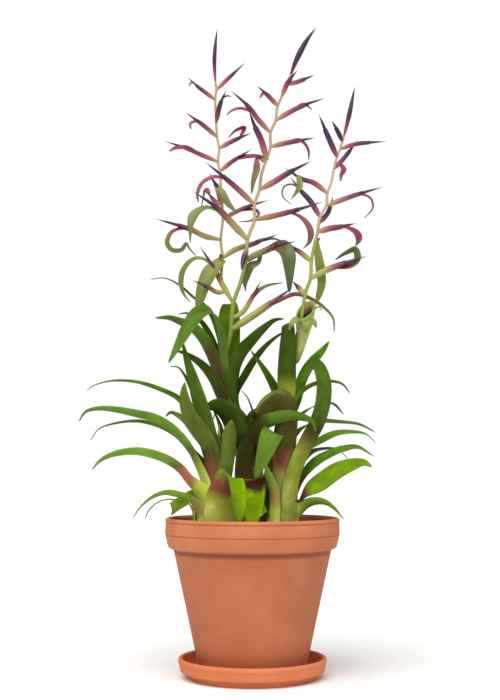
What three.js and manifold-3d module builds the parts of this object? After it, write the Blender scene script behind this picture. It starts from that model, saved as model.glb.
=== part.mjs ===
// Potted bromeliad: three shoots of strap leaves and two flower stalks, in a clay pot on a clay saucer.
// Millimetres, +Z up. The origin is the centre of the saucer's flat underside, and -Y is the front.
import * as THREE from 'three';
import { mergeVertices } from 'three/addons/utils/BufferGeometryUtils.js';
import Module from 'manifold-3d';

const wasm = await Module();
wasm.setup();

// ---- Driving dimensions ----

const GAP = 0.3; // air between pieces that touch
const BEND_CLEARANCE = 8; // a sheath skips a bend that lies closer than this under its top
const RING_EASE = 0.1; // added to the gap round a shoot's core, for the facets
const ROUND_SIDES = 32; // facets round the pot, the saucer and the soil
const CUT_TOLERANCE = 0.03; // how far a leaf's surface may move when the slivers of its cuts are merged
const JOIN_TOLERANCE = 0.27; // the same for the joined flower stalks

const SAUCER = {
  rimRadius: 71.5,
  height: 19.4,
  wall: 4.6,
  skirtRadius: 69.6,
  skirtBottom: 6.2,
  footRadius: 62,
  footFlare: 0.8,
  floorTop: 7,
  lipHeight: 5,
  lipStandsOut: 0.6,
  edge: 1, // the size of the eased corners
};

const POT = {
  rimRadius: 85,
  rimTop: 152,
  lipRound: 2.4,
  lipLine: 148.2,
  bandGroove: 136.2,
  grooveDepth: 0.7,
  grooveHalf: 0.9,
  bandBottomRadius: 82,
  bandBottom: 124.6,
  neckRadius: 76.3,
  neckHeight: 121.4,
  footRadius: 51.6,
  wall: 5.8,
  floor: 8,
  drainRadius: 9,
  bandLean: 0.4, // the band stands this far inside the lip
  insideSlope: 1, // how much narrower the inside is at the soil than at the rim
  edge: 1, // the size of the eased corners
};

const SOIL_TOP = 136;
const HOLE_CUT = 20; // height of the tool that cuts a shoot's hole, taller than the hole
const HOLE_SIDES = 20;

// Each shoot's axis runs up from the soil, and its sheaths stand in rings round that axis.
const SHOOTS = {
  left: { axis: [[-35, -24, 126], [-34, -22, 206]], core: 3.1, ringStep: 2.5, sheath: 1.5, blade: 1 },
  middle: {
    axis: [[-4, 16, 126], [-4, 16, 222], [-22, 14, 268], [-26, 14, 300]],
    core: 3,
    ringStep: 1.9,
    sheath: 0.9,
    blade: 0.9,
  },
  right: { axis: [[27, -5, 126], [34, -5, 262]], core: 2.8, ringStep: 1.9, sheath: 0.9, blade: 0.9 },
};

const LEAF = {
  wrap: 52, // half of the arc that a sheath covers, in degrees
  across: 5, // points across the blade
  narrow: 13.2, // a blade under this width has 3 points across
  edgeThinning: 0.3, // how much thinner the edge is than the middle
  rollPerWidth: 0.9, // radius of the blade's channel, as a share of its width
  opensFrom: 0.9, // the sheath starts to open this far up to its free height
  opensOver: 0.18, // and is a blade after this share of the leaf
  turnsOver: 0.3, // the blade has its full tilt after this share
  taperStart: 0.52, // where along the leaf the point begins
  taperPower: 1.9,
  tipShare: 0.07, // width left at the last station before the point
};

// Leaf colours: fresh, ordinary, brown-green and shaded leaves.
const TONES = { lime: 0x8fae3c, green: 0x557f33, olive: 0x6a6a3a, dark: 0x34402a };

// The bare top of the left shoot's stem, inside its sheaths.
const CROWN = { foot: 126.3, waist: 138, top: 150, waistShare: 0.8, sides: 10 };

// Leaves, from the outermost of a shoot to the innermost: the ring that the sheath stands in, the direction
// it faces (degrees from +X), the height where it leaves the shoot, the blade's width, how far the blade
// turns its upper face to the front (degrees), and the points that the blade then follows.
const LEAVES = {
  left: [
    { tone: 'green', ring: 6, facing: 212, rise: 156, width: 14, tilt: -15,
      route: [[-59, -38, 170], [-70, -42, 174], [-82, -46, 176], [-94, -50, 172], [-104, -54, 164],
        [-111, -58, 154]] },
    { tone: 'green', ring: 6, facing: 90, rise: 164, width: 13, tilt: 0,
      route: [[-33, 2, 180], [-33, 24, 199], [-33, 48, 203], [-34, 66, 190]] },
    { tone: 'lime', ring: 7, facing: 282, rise: 168, width: 24, tilt: 0, wrap: 42, taper: 0.76,
      route: [[-26, -50, 184], [-21, -56, 192], [-18, -62, 190], [-15, -65, 176], [-14, -66, 161],
        [-14, -67, 144]] },
    { tone: 'green', ring: 5, facing: 225, rise: 170, width: 12.5, tilt: -8, taper: 0.6,
      route: [[-61, -39, 189], [-68, -41, 198], [-79, -43, 206], [-94, -45, 212], [-110, -47, 215],
        [-129, -50, 213], [-142, -53, 207], [-150, -56, 198]] },
    { tone: 'lime', ring: 7, facing: 125, rise: 160, width: 15, tilt: 45, wrap: 28, blunt: true,
      route: [[-54, -4, 172], [-65, 7, 168], [-80, 24, 158]] },
    { tone: 'green', ring: 7, facing: 180, rise: 155, width: 6, tilt: 40, wrap: 24,
      route: [[-62, -16, 166], [-75, -11, 169], [-85, -8, 169], [-94, -4, 165], [-101, -1, 158],
        [-105, 2, 149]] },
    { tone: 'olive', ring: 3, facing: 240, rise: 198, width: 19, tilt: 0, taper: 0.76,
      route: [[-40, -35, 214], [-44, -37, 225], [-52, -40, 237], [-60, -42, 248], [-64, -43, 260],
        [-65, -44, 272], [-64, -45, 281]] },
    { tone: 'green', ring: 4, facing: 205, rise: 184, width: 11.5, tilt: -22, wrap: 46,
      route: [[-54, -28, 204], [-60, -27, 217], [-69, -26, 229], [-83, -24, 241], [-97, -22, 248],
        [-110, -21, 251], [-128, -19, 255], [-147, -17, 257], [-161, -16, 254], [-168, -15, 244]] },
    { tone: 'green', ring: 3, facing: 125, rise: 188, width: 9, tilt: -15,
      route: [[-48, -14, 200], [-59, -8, 215], [-73, -2, 230], [-91, 4, 240], [-111, 10, 245],
        [-133, 16, 244], [-153, 22, 238], [-162, 26, 226]] },
    { tone: 'green', ring: 2, facing: 150, rise: 198, width: 11, tilt: 10,
      route: [[-46, -14, 212], [-55, -10, 241], [-71, -5, 265], [-91, 0, 276], [-116, 5, 284],
        [-141, 9, 285], [-159, 13, 280], [-164, 14, 276]] },
    { tone: 'green', ring: 2, facing: 265, rise: 206, width: 19, tilt: 0, taper: 0.42,
      route: [[-42, -28, 229], [-48, -27, 253], [-54, -25, 274], [-60, -23, 294], [-65, -21, 310],
        [-68, -20, 323]] },
    { tone: 'green', ring: 1, facing: 170, rise: 206, width: 9, tilt: 40,
      route: [[-43, -18, 227], [-52, -11, 256], [-60, -7, 277], [-67, -3, 291], [-73, -2, 298],
        [-81, 0, 299]] },
    { tone: 'olive', ring: 4, facing: 300, rise: 186, width: 17, tilt: 0, wrap: 46, taper: 0.86,
      route: [[-24, -34, 202], [-22, -33, 217], [-21, -32, 230], [-20, -31, 246]] },
    { tone: 'lime', ring: 0, facing: 250, rise: 203, width: 9, tilt: 0,
      route: [[-33, -25, 215], [-32, -25, 229], [-32, -25, 242]] },
    { tone: 'green', ring: 1, facing: 200, rise: 200, width: 13, tilt: -25, taper: 0.66,
      route: [[-48, -25, 221], [-56, -24, 233], [-65, -22, 245], [-73, -21, 251], [-79, -20, 253],
        [-84, -19, 249]] },
    { tone: 'dark', ring: 2, facing: 345, rise: 206, width: 26, tilt: 0, wrap: 26, taper: 0.66,
      route: [[-24, -20, 217], [-27, -15, 230], [-30, -12, 241], [-36, -10, 253], [-42, -9, 262]] },
  ],
  middle: [
    { tone: 'lime', ring: 7, facing: 290, rise: 174, width: 21, tilt: 0, wrap: 36, taper: 0.78,
      route: [[1, -2, 185], [2, -8, 189], [3, -15, 186], [3, -22, 178], [1, -27, 161], [-1, -29, 141]] },
    { tone: 'green', ring: 4, facing: 70, rise: 198, width: 13, tilt: 0, wrap: 48,
      route: [[-2, 30, 217], [5, 46, 228], [11, 58, 228], [16, 72, 216]] },
    { tone: 'green', ring: 4, facing: 172, rise: 205, width: 22, tilt: -40,
      route: [[-24, 22, 234], [-31, 42, 256], [-37, 66, 260], [-42, 84, 246]] },
    { tone: 'dark', ring: 5, facing: 350, rise: 220, width: 22, tilt: -60, wrap: 44, taper: 0.55,
      route: [[-2, 4, 237], [-2, -4, 245], [0, -14, 253], [2, -23, 256], [4, -30, 253]] },
    { tone: 'green', ring: 5, facing: 238, rise: 203, width: 16, tilt: -20, wrap: 46, taper: 0.6,
      route: [[-7, 0, 221], [-1, -7, 232], [7, -14, 241], [21, -20, 247], [36, -25, 250], [48, -29, 248],
        [57, -32, 244], [60, -33, 234]] },
    { tone: 'green', ring: 3, facing: 85, rise: 205, width: 14, tilt: 0,
      route: [[-13, 32, 224], [-12, 56, 240], [-11, 80, 239], [-10, 100, 221]] },
    { tone: 'dark', ring: 3, facing: 195, rise: 232, width: 20, tilt: -42, wrap: 60, taper: 0.45,
      route: [[-31, 10, 268], [-38, 8, 286], [-49, 6, 300], [-61, 4, 309], [-69, 3, 313],
        [-78, 2, 315]] },
    { tone: 'dark', ring: 2, facing: 262, rise: 220, width: 29, tilt: 0, taper: 0.6,
      route: [[-12, -4, 233], [-18, -8, 246], [-27, -13, 256], [-37, -18, 260], [-45, -22, 256],
        [-49, -24, 246]] },
    { tone: 'dark', ring: 2, facing: 20, rise: 242, width: 13, tilt: 40,
      route: [[-16, 18, 269], [-7, 20, 291], [8, 24, 315], [23, 28, 330], [37, 31, 339]] },
    { tone: 'dark', ring: 2, facing: 150, rise: 258, width: 13, tilt: 35,
      route: [[-33, 24, 292], [-38, 28, 318], [-47, 33, 340], [-56, 36, 351], [-67, 38, 356],
        [-76, 40, 355]] },
    { tone: 'olive', ring: 1, facing: 82, rise: 272, width: 24, tilt: 0, taper: 0.85,
      route: [[-23, 23, 307], [-23, 25, 337], [-23, 29, 359], [-23, 36, 365], [-22, 43, 356]] },
    { tone: 'dark', ring: 1, facing: 195, rise: 255, width: 20, tilt: -40, taper: 0.55,
      route: [[-35, 13, 292], [-42, 14, 314], [-50, 15, 329], [-61, 16, 340], [-72, 17, 345],
        [-83, 18, 349], [-98, 19, 349]] },
    { tone: 'dark', ring: 0, facing: 335, rise: 250, width: 20, tilt: -42, wrap: 38, taper: 0.6,
      route: [[-18, 8, 294], [-12, 4, 311], [-1, 0, 324], [10, -4, 335], [22, -7, 344], [31, -9, 345]] },
    { tone: 'green', ring: 0, facing: 225, rise: 278, width: 20, tilt: 35, taper: 0.72,
      route: [[-31, 2, 315], [-33, -2, 334], [-37, -8, 346], [-43, -14, 352], [-51, -20, 349],
        [-60, -28, 337], [-69, -34, 320], [-80, -40, 299]] },
    { tone: 'green', ring: 0, facing: 130, rise: 277, width: 9, tilt: -12,
      route: [[-29, 20, 307], [-36, 23, 337], [-47, 26, 361], [-60, 28, 371], [-73, 30, 383],
        [-89, 32, 391], [-104, 34, 390]] },
    { tone: 'dark', ring: 3, facing: 310, rise: 222, width: 6, tilt: 20,
      route: [[1, 4, 239], [1, 2, 252], [-2, 0, 262], [-6, -2, 270], [-11, -4, 275]] },
  ],
  right: [
    { tone: 'green', ring: 7, facing: 320, rise: 153, width: 13, tilt: -10,
      route: [[50, -14, 163], [58, -18, 167], [68, -23, 167], [77, -27, 162], [87, -34, 151]] },
    { tone: 'green', ring: 7, facing: 203, rise: 146, width: 10, tilt: 0, wrap: 28,
      route: [[14, -15, 156], [12, -22, 161], [10, -29, 159], [7, -33, 154]] },
    { tone: 'green', ring: 7, facing: 90, rise: 172, width: 13, tilt: 0,
      route: [[40, 14, 190], [42, 40, 211], [43, 65, 211], [44, 85, 194]] },
    { tone: 'lime', ring: 6, facing: 340, rise: 160, width: 19, tilt: 80, taper: 0.62,
      route: [[50, -12, 171], [56, -14, 178], [68, -17, 187], [82, -20, 197], [96, -23, 203],
        [106, -25, 205], [114, -27, 201]] },
    { tone: 'olive', ring: 4, facing: 212, rise: 200, width: 24, tilt: -42, wrap: 42, roll: 40, taper: 0.64,
      route: [[20, -15, 215], [21, -18, 229], [22, -25, 233], [19, -31, 232], [13, -36, 217],
        [2, -40, 189]] },
    { tone: 'green', ring: 6, facing: 238, rise: 160, width: 13, tilt: 0, wrap: 26, taper: 0.6,
      route: [[20, -20, 177], [17, -18, 187], [14, -15, 197], [12, -12, 205]] },
    { tone: 'green', ring: 5, facing: 10, rise: 170, width: 12.5, tilt: 45,
      route: [[44, -4, 177], [50, -1, 191], [61, 3, 204], [74, 6, 212], [89, 9, 218], [104, 12, 220],
        [120, 16, 211]] },
    { tone: 'olive', ring: 5, facing: 264, rise: 188, width: 22, tilt: 0, taper: 0.85,
      route: [[31, -17, 217], [33, -17, 246], [32, -18, 259], [26, -17, 266], [16, -12, 262],
        [6, -6, 253], [0, -1, 247]] },
    { tone: 'dark', ring: 4, facing: 55, rise: 188, width: 10, tilt: -10,
      route: [[44, 4, 200], [57, 15, 214], [69, 23, 218], [85, 31, 218], [97, 40, 208]] },
    { tone: 'dark', ring: 8, facing: 165, rise: 198, width: 15, tilt: 45, wrap: 40,
      route: [[27, -1, 246], [23, 1, 273], [15, 3, 290], [7, 5, 303], [-2, 8, 316]] },
    { tone: 'olive', ring: 3, facing: 28, rise: 206, width: 13, tilt: 20,
      route: [[43, 0, 212], [54, 5, 218], [66, 10, 225], [82, 17, 233], [99, 23, 235], [114, 29, 233],
        [124, 34, 224]] },
    { tone: 'green', ring: 8, facing: 292, rise: 172, width: 17, tilt: 0, wrap: 26, taper: 0.72,
      route: [[38, -19, 187], [45, -18, 208], [55, -17, 228], [65, -17, 248], [70, -16, 270],
        [69, -16, 287], [64, -18, 298], [58, -21, 300], [52, -23, 292], [49, -24, 281]] },
    { tone: 'green', ring: 2, facing: 50, rise: 217, width: 10, tilt: -50,
      route: [[39, 2, 227], [52, 10, 240], [67, 18, 245], [87, 27, 245], [108, 36, 243],
        [125, 44, 235]] },
    { tone: 'green', ring: 1, facing: 70, rise: 227, width: 11, tilt: -50,
      route: [[39, 4, 242], [50, 14, 253], [63, 24, 261], [81, 36, 264], [93, 46, 253]] },
    { tone: 'green', ring: 1, facing: 322, rise: 237, width: 9, tilt: 0,
      route: [[41, -8, 261], [50, -8, 275], [63, -6, 282], [79, -3, 284], [89, 0, 281], [96, 2, 272]] },
    { tone: 'green', ring: 0, facing: 40, rise: 237, width: 14, tilt: 15, taper: 0.84,
      route: [[44, 0, 264], [47, 4, 278], [53, 8, 293], [62, 12, 306], [70, 15, 316], [77, 17, 326]] },
    { tone: 'dark', ring: 0, facing: 250, rise: 237, width: 22, tilt: 0, roll: 13, taper: 0.6,
      route: [[32, -9, 266], [32, -12, 290], [33, -14, 314], [34, -13, 331], [34, -8, 340], [35, 2, 339],
        [35, 11, 333], [34, 19, 324]] },
  ],
};

// Flower stalks. A stem follows its route. Each flower is a pod that runs from the stem to a dark point, and
// most have a bract, a ribbon that leaves the pod and curls away. Girth and width are in millimetres.
const STALKS = {
  middle: {
    stems: [
      { thick: 6, thin: 2.4, route: [[-4, 16, 127], [-4, 16, 222], [-22, 14, 268], [-27, 14, 307],
        [-22, 14, 331], [-19, 13, 363], [-12, 10, 383], [-6, 6, 407], [-5, 4, 425], [2, 2, 445],
        [2, 0, 460], [7, 0, 475], [9, -1, 490], [14, -2, 505], [18, -2, 518], [18, -3, 532], [23, -4, 544],
        [25, -4, 558], [30, -5, 570], [39, -6, 592]] },
      { thick: 3.4, thin: 2.2, route: [[-19, 14, 363], [-27, 16, 377], [-31, 18, 389], [-30, 22, 410],
        [-32, 24, 429], [-30, 25, 450], [-32, 27, 483], [-33, 28, 499], [-35, 28, 510], [-34, 28, 524],
        [-36, 29, 536], [-37, 29, 551], [-38, 30, 575], [-37, 30, 587], [-38, 30, 594]] },
    ],
    flowers: [
      { pod: [[-38, 30, 593], [-39, 30, 615], [-38, 30, 633], [-36, 30, 651]], girth: 4.4, spindle: true },
      { pod: [[-37, 30, 585], [-27, 32, 596], [-7, 38, 617]], girth: 4.5 },
      { pod: [[-38, 30, 575], [-54, 25, 586], [-67, 22, 597]], girth: 4.5,
        bract: [[-60, 24, 590], [-63, 22, 590], [-64, 20, 586]], width: 3 },
      { pod: [[-37, 29, 551], [-33, 18, 566], [-26, 7, 579]], girth: 5.5,
        bract: [[-30, 16, 568], [-27, 11, 573], [-21, 7, 572]], width: 4 },
      { pod: [[-36, 29, 536], [-51, 25, 548], [-69, 21, 560]], girth: 5,
        bract: [[-50, 25, 547], [-58, 22, 550], [-63, 20, 547], [-62, 19, 541]], width: 5 },
      { pod: [[-34, 28, 524], [-18, 33, 534], [0, 38, 543]], girth: 5.2,
        bract: [[-13, 35, 536], [-8, 33, 547], [-17, 32, 544], [-25, 30, 535]], width: 6 },
      { pod: [[-35, 28, 510], [-53, 25, 517], [-68, 22, 523], [-90, 18, 529]], girth: 5,
        bract: [[-53, 25, 517], [-67, 20, 522], [-78, 16, 521], [-84, 14, 517]], width: 9 },
      { pod: [[-33, 28, 500], [-21, 32, 511], [0, 38, 526]], girth: 5,
        bract: [[-17, 33, 512], [-3, 36, 517], [10, 40, 518], [18, 42, 515]], width: 9 },
      { pod: [[-31, 26, 463], [-36, 17, 482], [-41, 13, 490], [-43, 10, 495]], girth: 6,
        bract: [[-37, 17, 482], [-31, 13, 473], [-24, 9, 462], [-16, 4, 453]], width: 11 },
      { pod: [[-31, 27, 465], [-39, 32, 471], [-47, 39, 483]], girth: 5,
        bract: [[-46, 39, 486], [-48, 39, 483], [-50, 39, 475], [-53, 39, 462]], width: 8 },
      { pod: [[-32, 24, 429], [-48, 21, 432], [-63, 19, 439], [-99, 14, 449]], girth: 6,
        bract: [[-53, 20, 435], [-70, 18, 439], [-81, 17, 435], [-85, 15, 424], [-80, 14, 417],
          [-71, 13, 417], [-66, 12, 423], [-63, 11, 418], [-56, 10, 410]], width: 6.5 },
      { pod: [[-30, 25, 450], [-17, 27, 458], [-1, 28, 465], [18, 29, 471]], girth: 5,
        bract: [[-13, 27, 458], [3, 29, 460], [6, 30, 456], [-2, 31, 450], [-14, 33, 449]], width: 6.5 },
      { pod: [[-21, 14, 365], [-31, 16, 384], [-39, 18, 400], [-54, 20, 423]], girth: 6,
        bract: [[-39, 18, 399], [-48, 19, 408], [-58, 20, 409], [-68, 21, 399], [-71, 22, 386],
          [-69, 23, 374], [-62, 24, 365]], width: 9, leafy: true },
      { pod: [[-30, 22, 410], [-17, 24, 419], [-2, 25, 424], [28, 28, 436]], girth: 6,
        bract: [[-3, 25, 424], [8, 27, 428], [21, 30, 431], [32, 32, 428]], width: 7 },
      { pod: [[-27, 16, 375], [-35, 13, 374], [-43, 9, 378], [-60, 2, 385]], girth: 5 },
      { pod: [[-30, 22, 408], [-33, 18, 414]], girth: 4.5,
        bract: [[-29, 18, 407], [-40, 15, 396], [-47, 13, 383], [-52, 11, 366], [-55, 10, 352]], width: 20 },
      { pod: [[39, -6, 590], [43, -6, 603], [53, -6, 623], [64, -6, 639]], girth: 6, spindle: true },
      { pod: [[29, -5, 569], [35, -8, 581], [45, -13, 593]], girth: 5.5 },
      { pod: [[35, -5, 580], [45, -2, 584], [63, 3, 593]], girth: 5 },
      { pod: [[25, -4, 559], [15, -7, 569], [4, -10, 578]], girth: 5,
        bract: [[15, -7, 568], [11, -9, 570], [7, -12, 564]], width: 5.5 },
      { pod: [[23, -4, 544], [37, -2, 553], [52, 0, 561], [74, 2, 569]], girth: 5.5,
        bract: [[39, -2, 555], [51, -1, 561], [56, 0, 559], [60, 0, 556]], width: 6 },
      { pod: [[18, -3, 532], [5, -4, 546], [-3, -5, 557], [-23, -7, 575]], girth: 5.5,
        bract: [[5, -4, 547], [-3, -6, 553], [-13, -8, 555], [-21, -10, 552], [-26, -11, 547]], width: 5.5 },
      { pod: [[14, -2, 505], [9, -9, 522], [2, -15, 536], [-4, -22, 551]], girth: 7 },
      { pod: [[18, -2, 518], [29, -1, 521], [41, 1, 524], [64, 4, 529]], girth: 5.5,
        bract: [[33, 0, 523], [46, 0, 525], [53, 1, 520], [56, 1, 513], [56, 2, 505]], width: 7 },
      { pod: [[11, -2, 503], [6, -5, 507], [3, -8, 503]], girth: 4.5,
        bract: [[6, -6, 500], [4, -8, 493], [1, -9, 482], [-1, -10, 468]], width: 8 },
      { pod: [[7, 0, 475], [21, 2, 483], [36, 4, 493], [61, 8, 507]], girth: 6.5 },
      { pod: [[2, 0, 460], [-12, -2, 473], [-27, -4, 486], [-48, -8, 502]], girth: 6,
        bract: [[-24, -4, 483], [-37, -7, 486], [-49, -9, 480], [-54, -12, 468], [-53, -14, 459]], width: 7 },
      { pod: [[-4, 4, 425], [-20, 0, 441], [-35, -3, 456], [-59, -8, 472]], girth: 7.5,
        bract: [[-30, -2, 451], [-45, -5, 456], [-55, -7, 450], [-60, -10, 440], [-61, -14, 418]],
        width: 12, leafy: true },
      { pod: [[2, 2, 445], [19, -6, 447], [37, -14, 450], [71, -22, 459]], girth: 6,
        bract: [[25, -9, 449], [39, -15, 448], [49, -18, 442], [56, -20, 430], [55, -21, 419],
          [49, -21, 412]], width: 8, leafy: true },
      { pod: [[-4, 4, 418], [-9, 0, 404], [-11, -5, 393]], girth: 6, spindle: true },
      { pod: [[-5, 6, 406], [12, 3, 414], [25, 1, 419], [44, -2, 423]], girth: 7,
        bract: [[17, 2, 416], [27, -1, 417], [34, -6, 410], [36, -9, 394], [36, -11, 370]], width: 21 },
      { pod: [[-6, 7, 404], [2, 7, 409], [12, 9, 413]], girth: 5,
        bract: [[12, 8, 410], [6, 9, 404], [-2, 9, 399], [-7, 9, 386], [-7, 11, 374]],
        width: 10, leafy: true },
      { pod: [[-20, 13, 348], [-10, 14, 354], [-2, 14, 366], [9, 15, 387]], girth: 5.5,
        bract: [[-5, 14, 361], [3, 16, 373], [14, 18, 381], [31, 21, 385]], width: 6 },
      { pod: [[-21, 13, 336], [3, 10, 352], [19, 7, 363], [42, 3, 379]], girth: 8,
        bract: [[9, 9, 354], [27, 9, 365], [43, 8, 371], [57, 8, 367], [72, 8, 357], [80, 8, 347],
          [81, 7, 333]], width: 7 },
    ],
  },
  right: {
    stems: [
      { thick: 5.6, thin: 2.2, route: [[27, -5, 127], [34, -5, 262], [38, -5, 299], [44, -5, 329],
        [49, -5, 351], [52, -5, 371], [57, -6, 385], [58, -6, 402], [61, -6, 418], [64, -6, 430],
        [67, -7, 447], [73, -7, 458], [74, -7, 470], [78, -7, 481], [81, -7, 496], [84, -8, 507],
        [87, -8, 515], [91, -8, 528]] },
    ],
    collar: {
      axis: [[42, -5, 300], [48, -6, 323], [51, -6, 343], [53, -6, 364]],
      girths: [5, 10, 17, 20],
      mouth: [52, -6, 353],
      faces: [-0.35, -0.62, 0.7],
      lips: [
        { route: [[49.2, -13.2, 341], [43, -18, 343], [38, -20, 339], [35, -20, 332]], width: 9 },
        { route: [[51, -13.4, 341], [52, -18, 341], [52, -20, 335], [52, -20, 329]], width: 9 },
        { route: [[55, -12.6, 343], [59, -18, 341], [62, -19, 335]], width: 8 },
        { route: [[60.2, -6, 354], [65, -7, 357], [68, -7, 353]], width: 3 },
      ],
    },
    flowers: [
      { pod: [[91, -8, 526], [95, -8, 544], [102, -8, 578]], girth: 5, spindle: true },
      { pod: [[89, -8, 522], [84, -11, 532], [78, -14, 542]], girth: 5 },
      { pod: [[87, -8, 514], [103, -5, 520], [134, 0, 524]], girth: 4.8 },
      { pod: [[84, -8, 506], [76, -11, 523], [65, -16, 548]], girth: 6 },
      { pod: [[82, -7, 494], [91, -4, 506], [106, 3, 527]], girth: 5,
        bract: [[88, -5, 500], [90, -6, 494], [88, -6, 489], [87, -5, 482]], width: 7 },
      { pod: [[74, -7, 470], [60, -10, 480], [49, -12, 483], [31, -15, 494]], girth: 5.5,
        bract: [[53, -11, 482], [46, -14, 485], [46, -18, 474], [37, -21, 460]], width: 7, leafy: true },
      { pod: [[67, -7, 446], [58, 1, 463], [46, 8, 479], [37, 12, 492]], girth: 6,
        bract: [[50, 6, 474], [40, 8, 482], [32, 9, 480], [30, 9, 471], [40, 9, 461]], width: 3 },
      { pod: [[73, -7, 457], [89, -5, 464], [105, -3, 470], [131, -1, 478]], girth: 5.5,
        bract: [[93, -5, 466], [108, -4, 469], [117, -4, 465], [119, -3, 456], [110, -3, 445]], width: 5 },
      { pod: [[67, -7, 440], [75, 0, 452], [81, 8, 471]], girth: 5.5 },
      { pod: [[65, -6, 431], [76, -5, 435], [87, -4, 437], [103, -2, 441]], girth: 6.5,
        bract: [[82, -4, 435], [93, -5, 436], [102, -6, 430], [104, -6, 423], [101, -6, 417]],
        width: 11, leafy: true },
      { pod: [[58, -6, 402], [47, 3, 413], [33, 10, 424]], girth: 5.5 },
      { pod: [[62, -6, 421], [67, -4, 426]], girth: 4.5,
        bract: [[65, -5, 419], [66, -2, 400], [68, -1, 381], [65, -1, 368], [63, -1, 361]], width: 11 },
      { pod: [[58, -6, 385], [72, -7, 393], [88, -9, 399], [113, -12, 407]], girth: 7,
        bract: [[80, -8, 396], [96, -8, 397], [104, -9, 404], [101, -9, 414], [91, -9, 410], [81, -10, 403]],
        width: 12 },
      { pod: [[52, -5, 369], [46, -2, 376], [39, 1, 384]], girth: 5.5 },
    ],
  },
};

const FLOWER = {
  sides: 5,
  // Shares along a pod, each with the share of the girth there. The bract tube ends where the point starts.
  pod: [[0, 0.55], [0.2, 0.95], [0.52, 0.88], [0.64, 0.62], [0.84, 0.42]],
  spindle: [[0, 0.4], [0.2, 0.75], [0.42, 1], [0.62, 0.84], [0.82, 0.46]],
  bractThick: 0.8,
  rootSteps: 20,
  pointShare: 0.2, // no bract roots on this last share of a pod
  bractFace: [0, -0.7, 0.7],
  // A bract's width along it, as shares of its full width: at its root, how fast it widens, and its point.
  bractRoot: 0.5,
  bractWidens: 1.8,
  bractNarrows: 0.9,
  bractPower: 2.2,
  // A leafy bract has a narrow neck, and is widest past its middle.
  leafyNeck: 0.45,
  leafyFrom: 0.15,
  leafyWidest: 0.6,
  wideBract: 8, // from this width a bract has a channel
};

// The sheath that clasps the right stalk and opens in a slanting mouth, with lips that curl back.
const COLLAR = { sides: 8, wall: 1.3, hollowFrom: 1 };

// ---- Small helpers ----

const { degToRad, lerp, smoothstep } = THREE.MathUtils;
const UP = new THREE.Vector3(0, 0, 1);
const vector = ([x, y, z]) => new THREE.Vector3(x, y, z);
const around = (degrees) => new THREE.Vector3(1, 0, 0).applyAxisAngle(UP, degToRad(degrees));

function geometryOf(vertices, triangles) {
  const geometry = new THREE.BufferGeometry();
  const positions = vertices.flatMap((vertex) => vertex.toArray());
  geometry.setAttribute('position', new THREE.Float32BufferAttribute(positions, 3));
  geometry.setIndex(triangles.flat());
  return geometry;
}

function toSolid(geometry) {
  const bare = geometry.clone();
  bare.deleteAttribute('normal');
  bare.deleteAttribute('uv');
  const merged = mergeVertices(bare, 1e-3);
  const vertProperties = new Float32Array(merged.attributes.position.array);
  const triVerts = new Uint32Array(merged.index.array);
  const solid = new wasm.Manifold(new wasm.Mesh({ numProp: 3, vertProperties, triVerts }));
  if (solid.volume() >= 0) return solid;
  return new wasm.Manifold(new wasm.Mesh({ numProp: 3, vertProperties, triVerts: triVerts.reverse() }));
}

function toGeometry(solid) {
  const mesh = solid.getMesh();
  const geometry = new THREE.BufferGeometry();
  geometry.setAttribute('position', new THREE.BufferAttribute(new Float32Array(mesh.vertProperties), 3));
  geometry.setIndex(new THREE.BufferAttribute(new Uint32Array(mesh.triVerts), 1));
  return geometry;
}

function lathe(profile, sides = ROUND_SIDES) {
  const turned = new THREE.LatheGeometry(profile.map(([r, z]) => new THREE.Vector2(r, z)), sides);
  return turned.rotateX(Math.PI / 2);
}

// Frames carried along a spine with no added spin: the tangent and the face normal at each station.
function carriedFrames(points, firstNormal, firstTangent) {
  const tangents = points.map((point, i) => {
    const before = points[Math.max(i - 1, 0)];
    const after = points[Math.min(i + 1, points.length - 1)];
    return after.clone().sub(before).normalize();
  });
  if (firstTangent) tangents[0].copy(firstTangent);
  const normals = [];
  tangents.forEach((tangent, i) => {
    const normal = (normals[i - 1] ?? firstNormal).clone();
    if (i > 0) normal.applyQuaternion(new THREE.Quaternion().setFromUnitVectors(tangents[i - 1], tangent));
    normals.push(normal.addScaledVector(tangent, -normal.dot(tangent)).normalize());
  });
  return { tangents, normals };
}

// ---- Leaves ----

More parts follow.
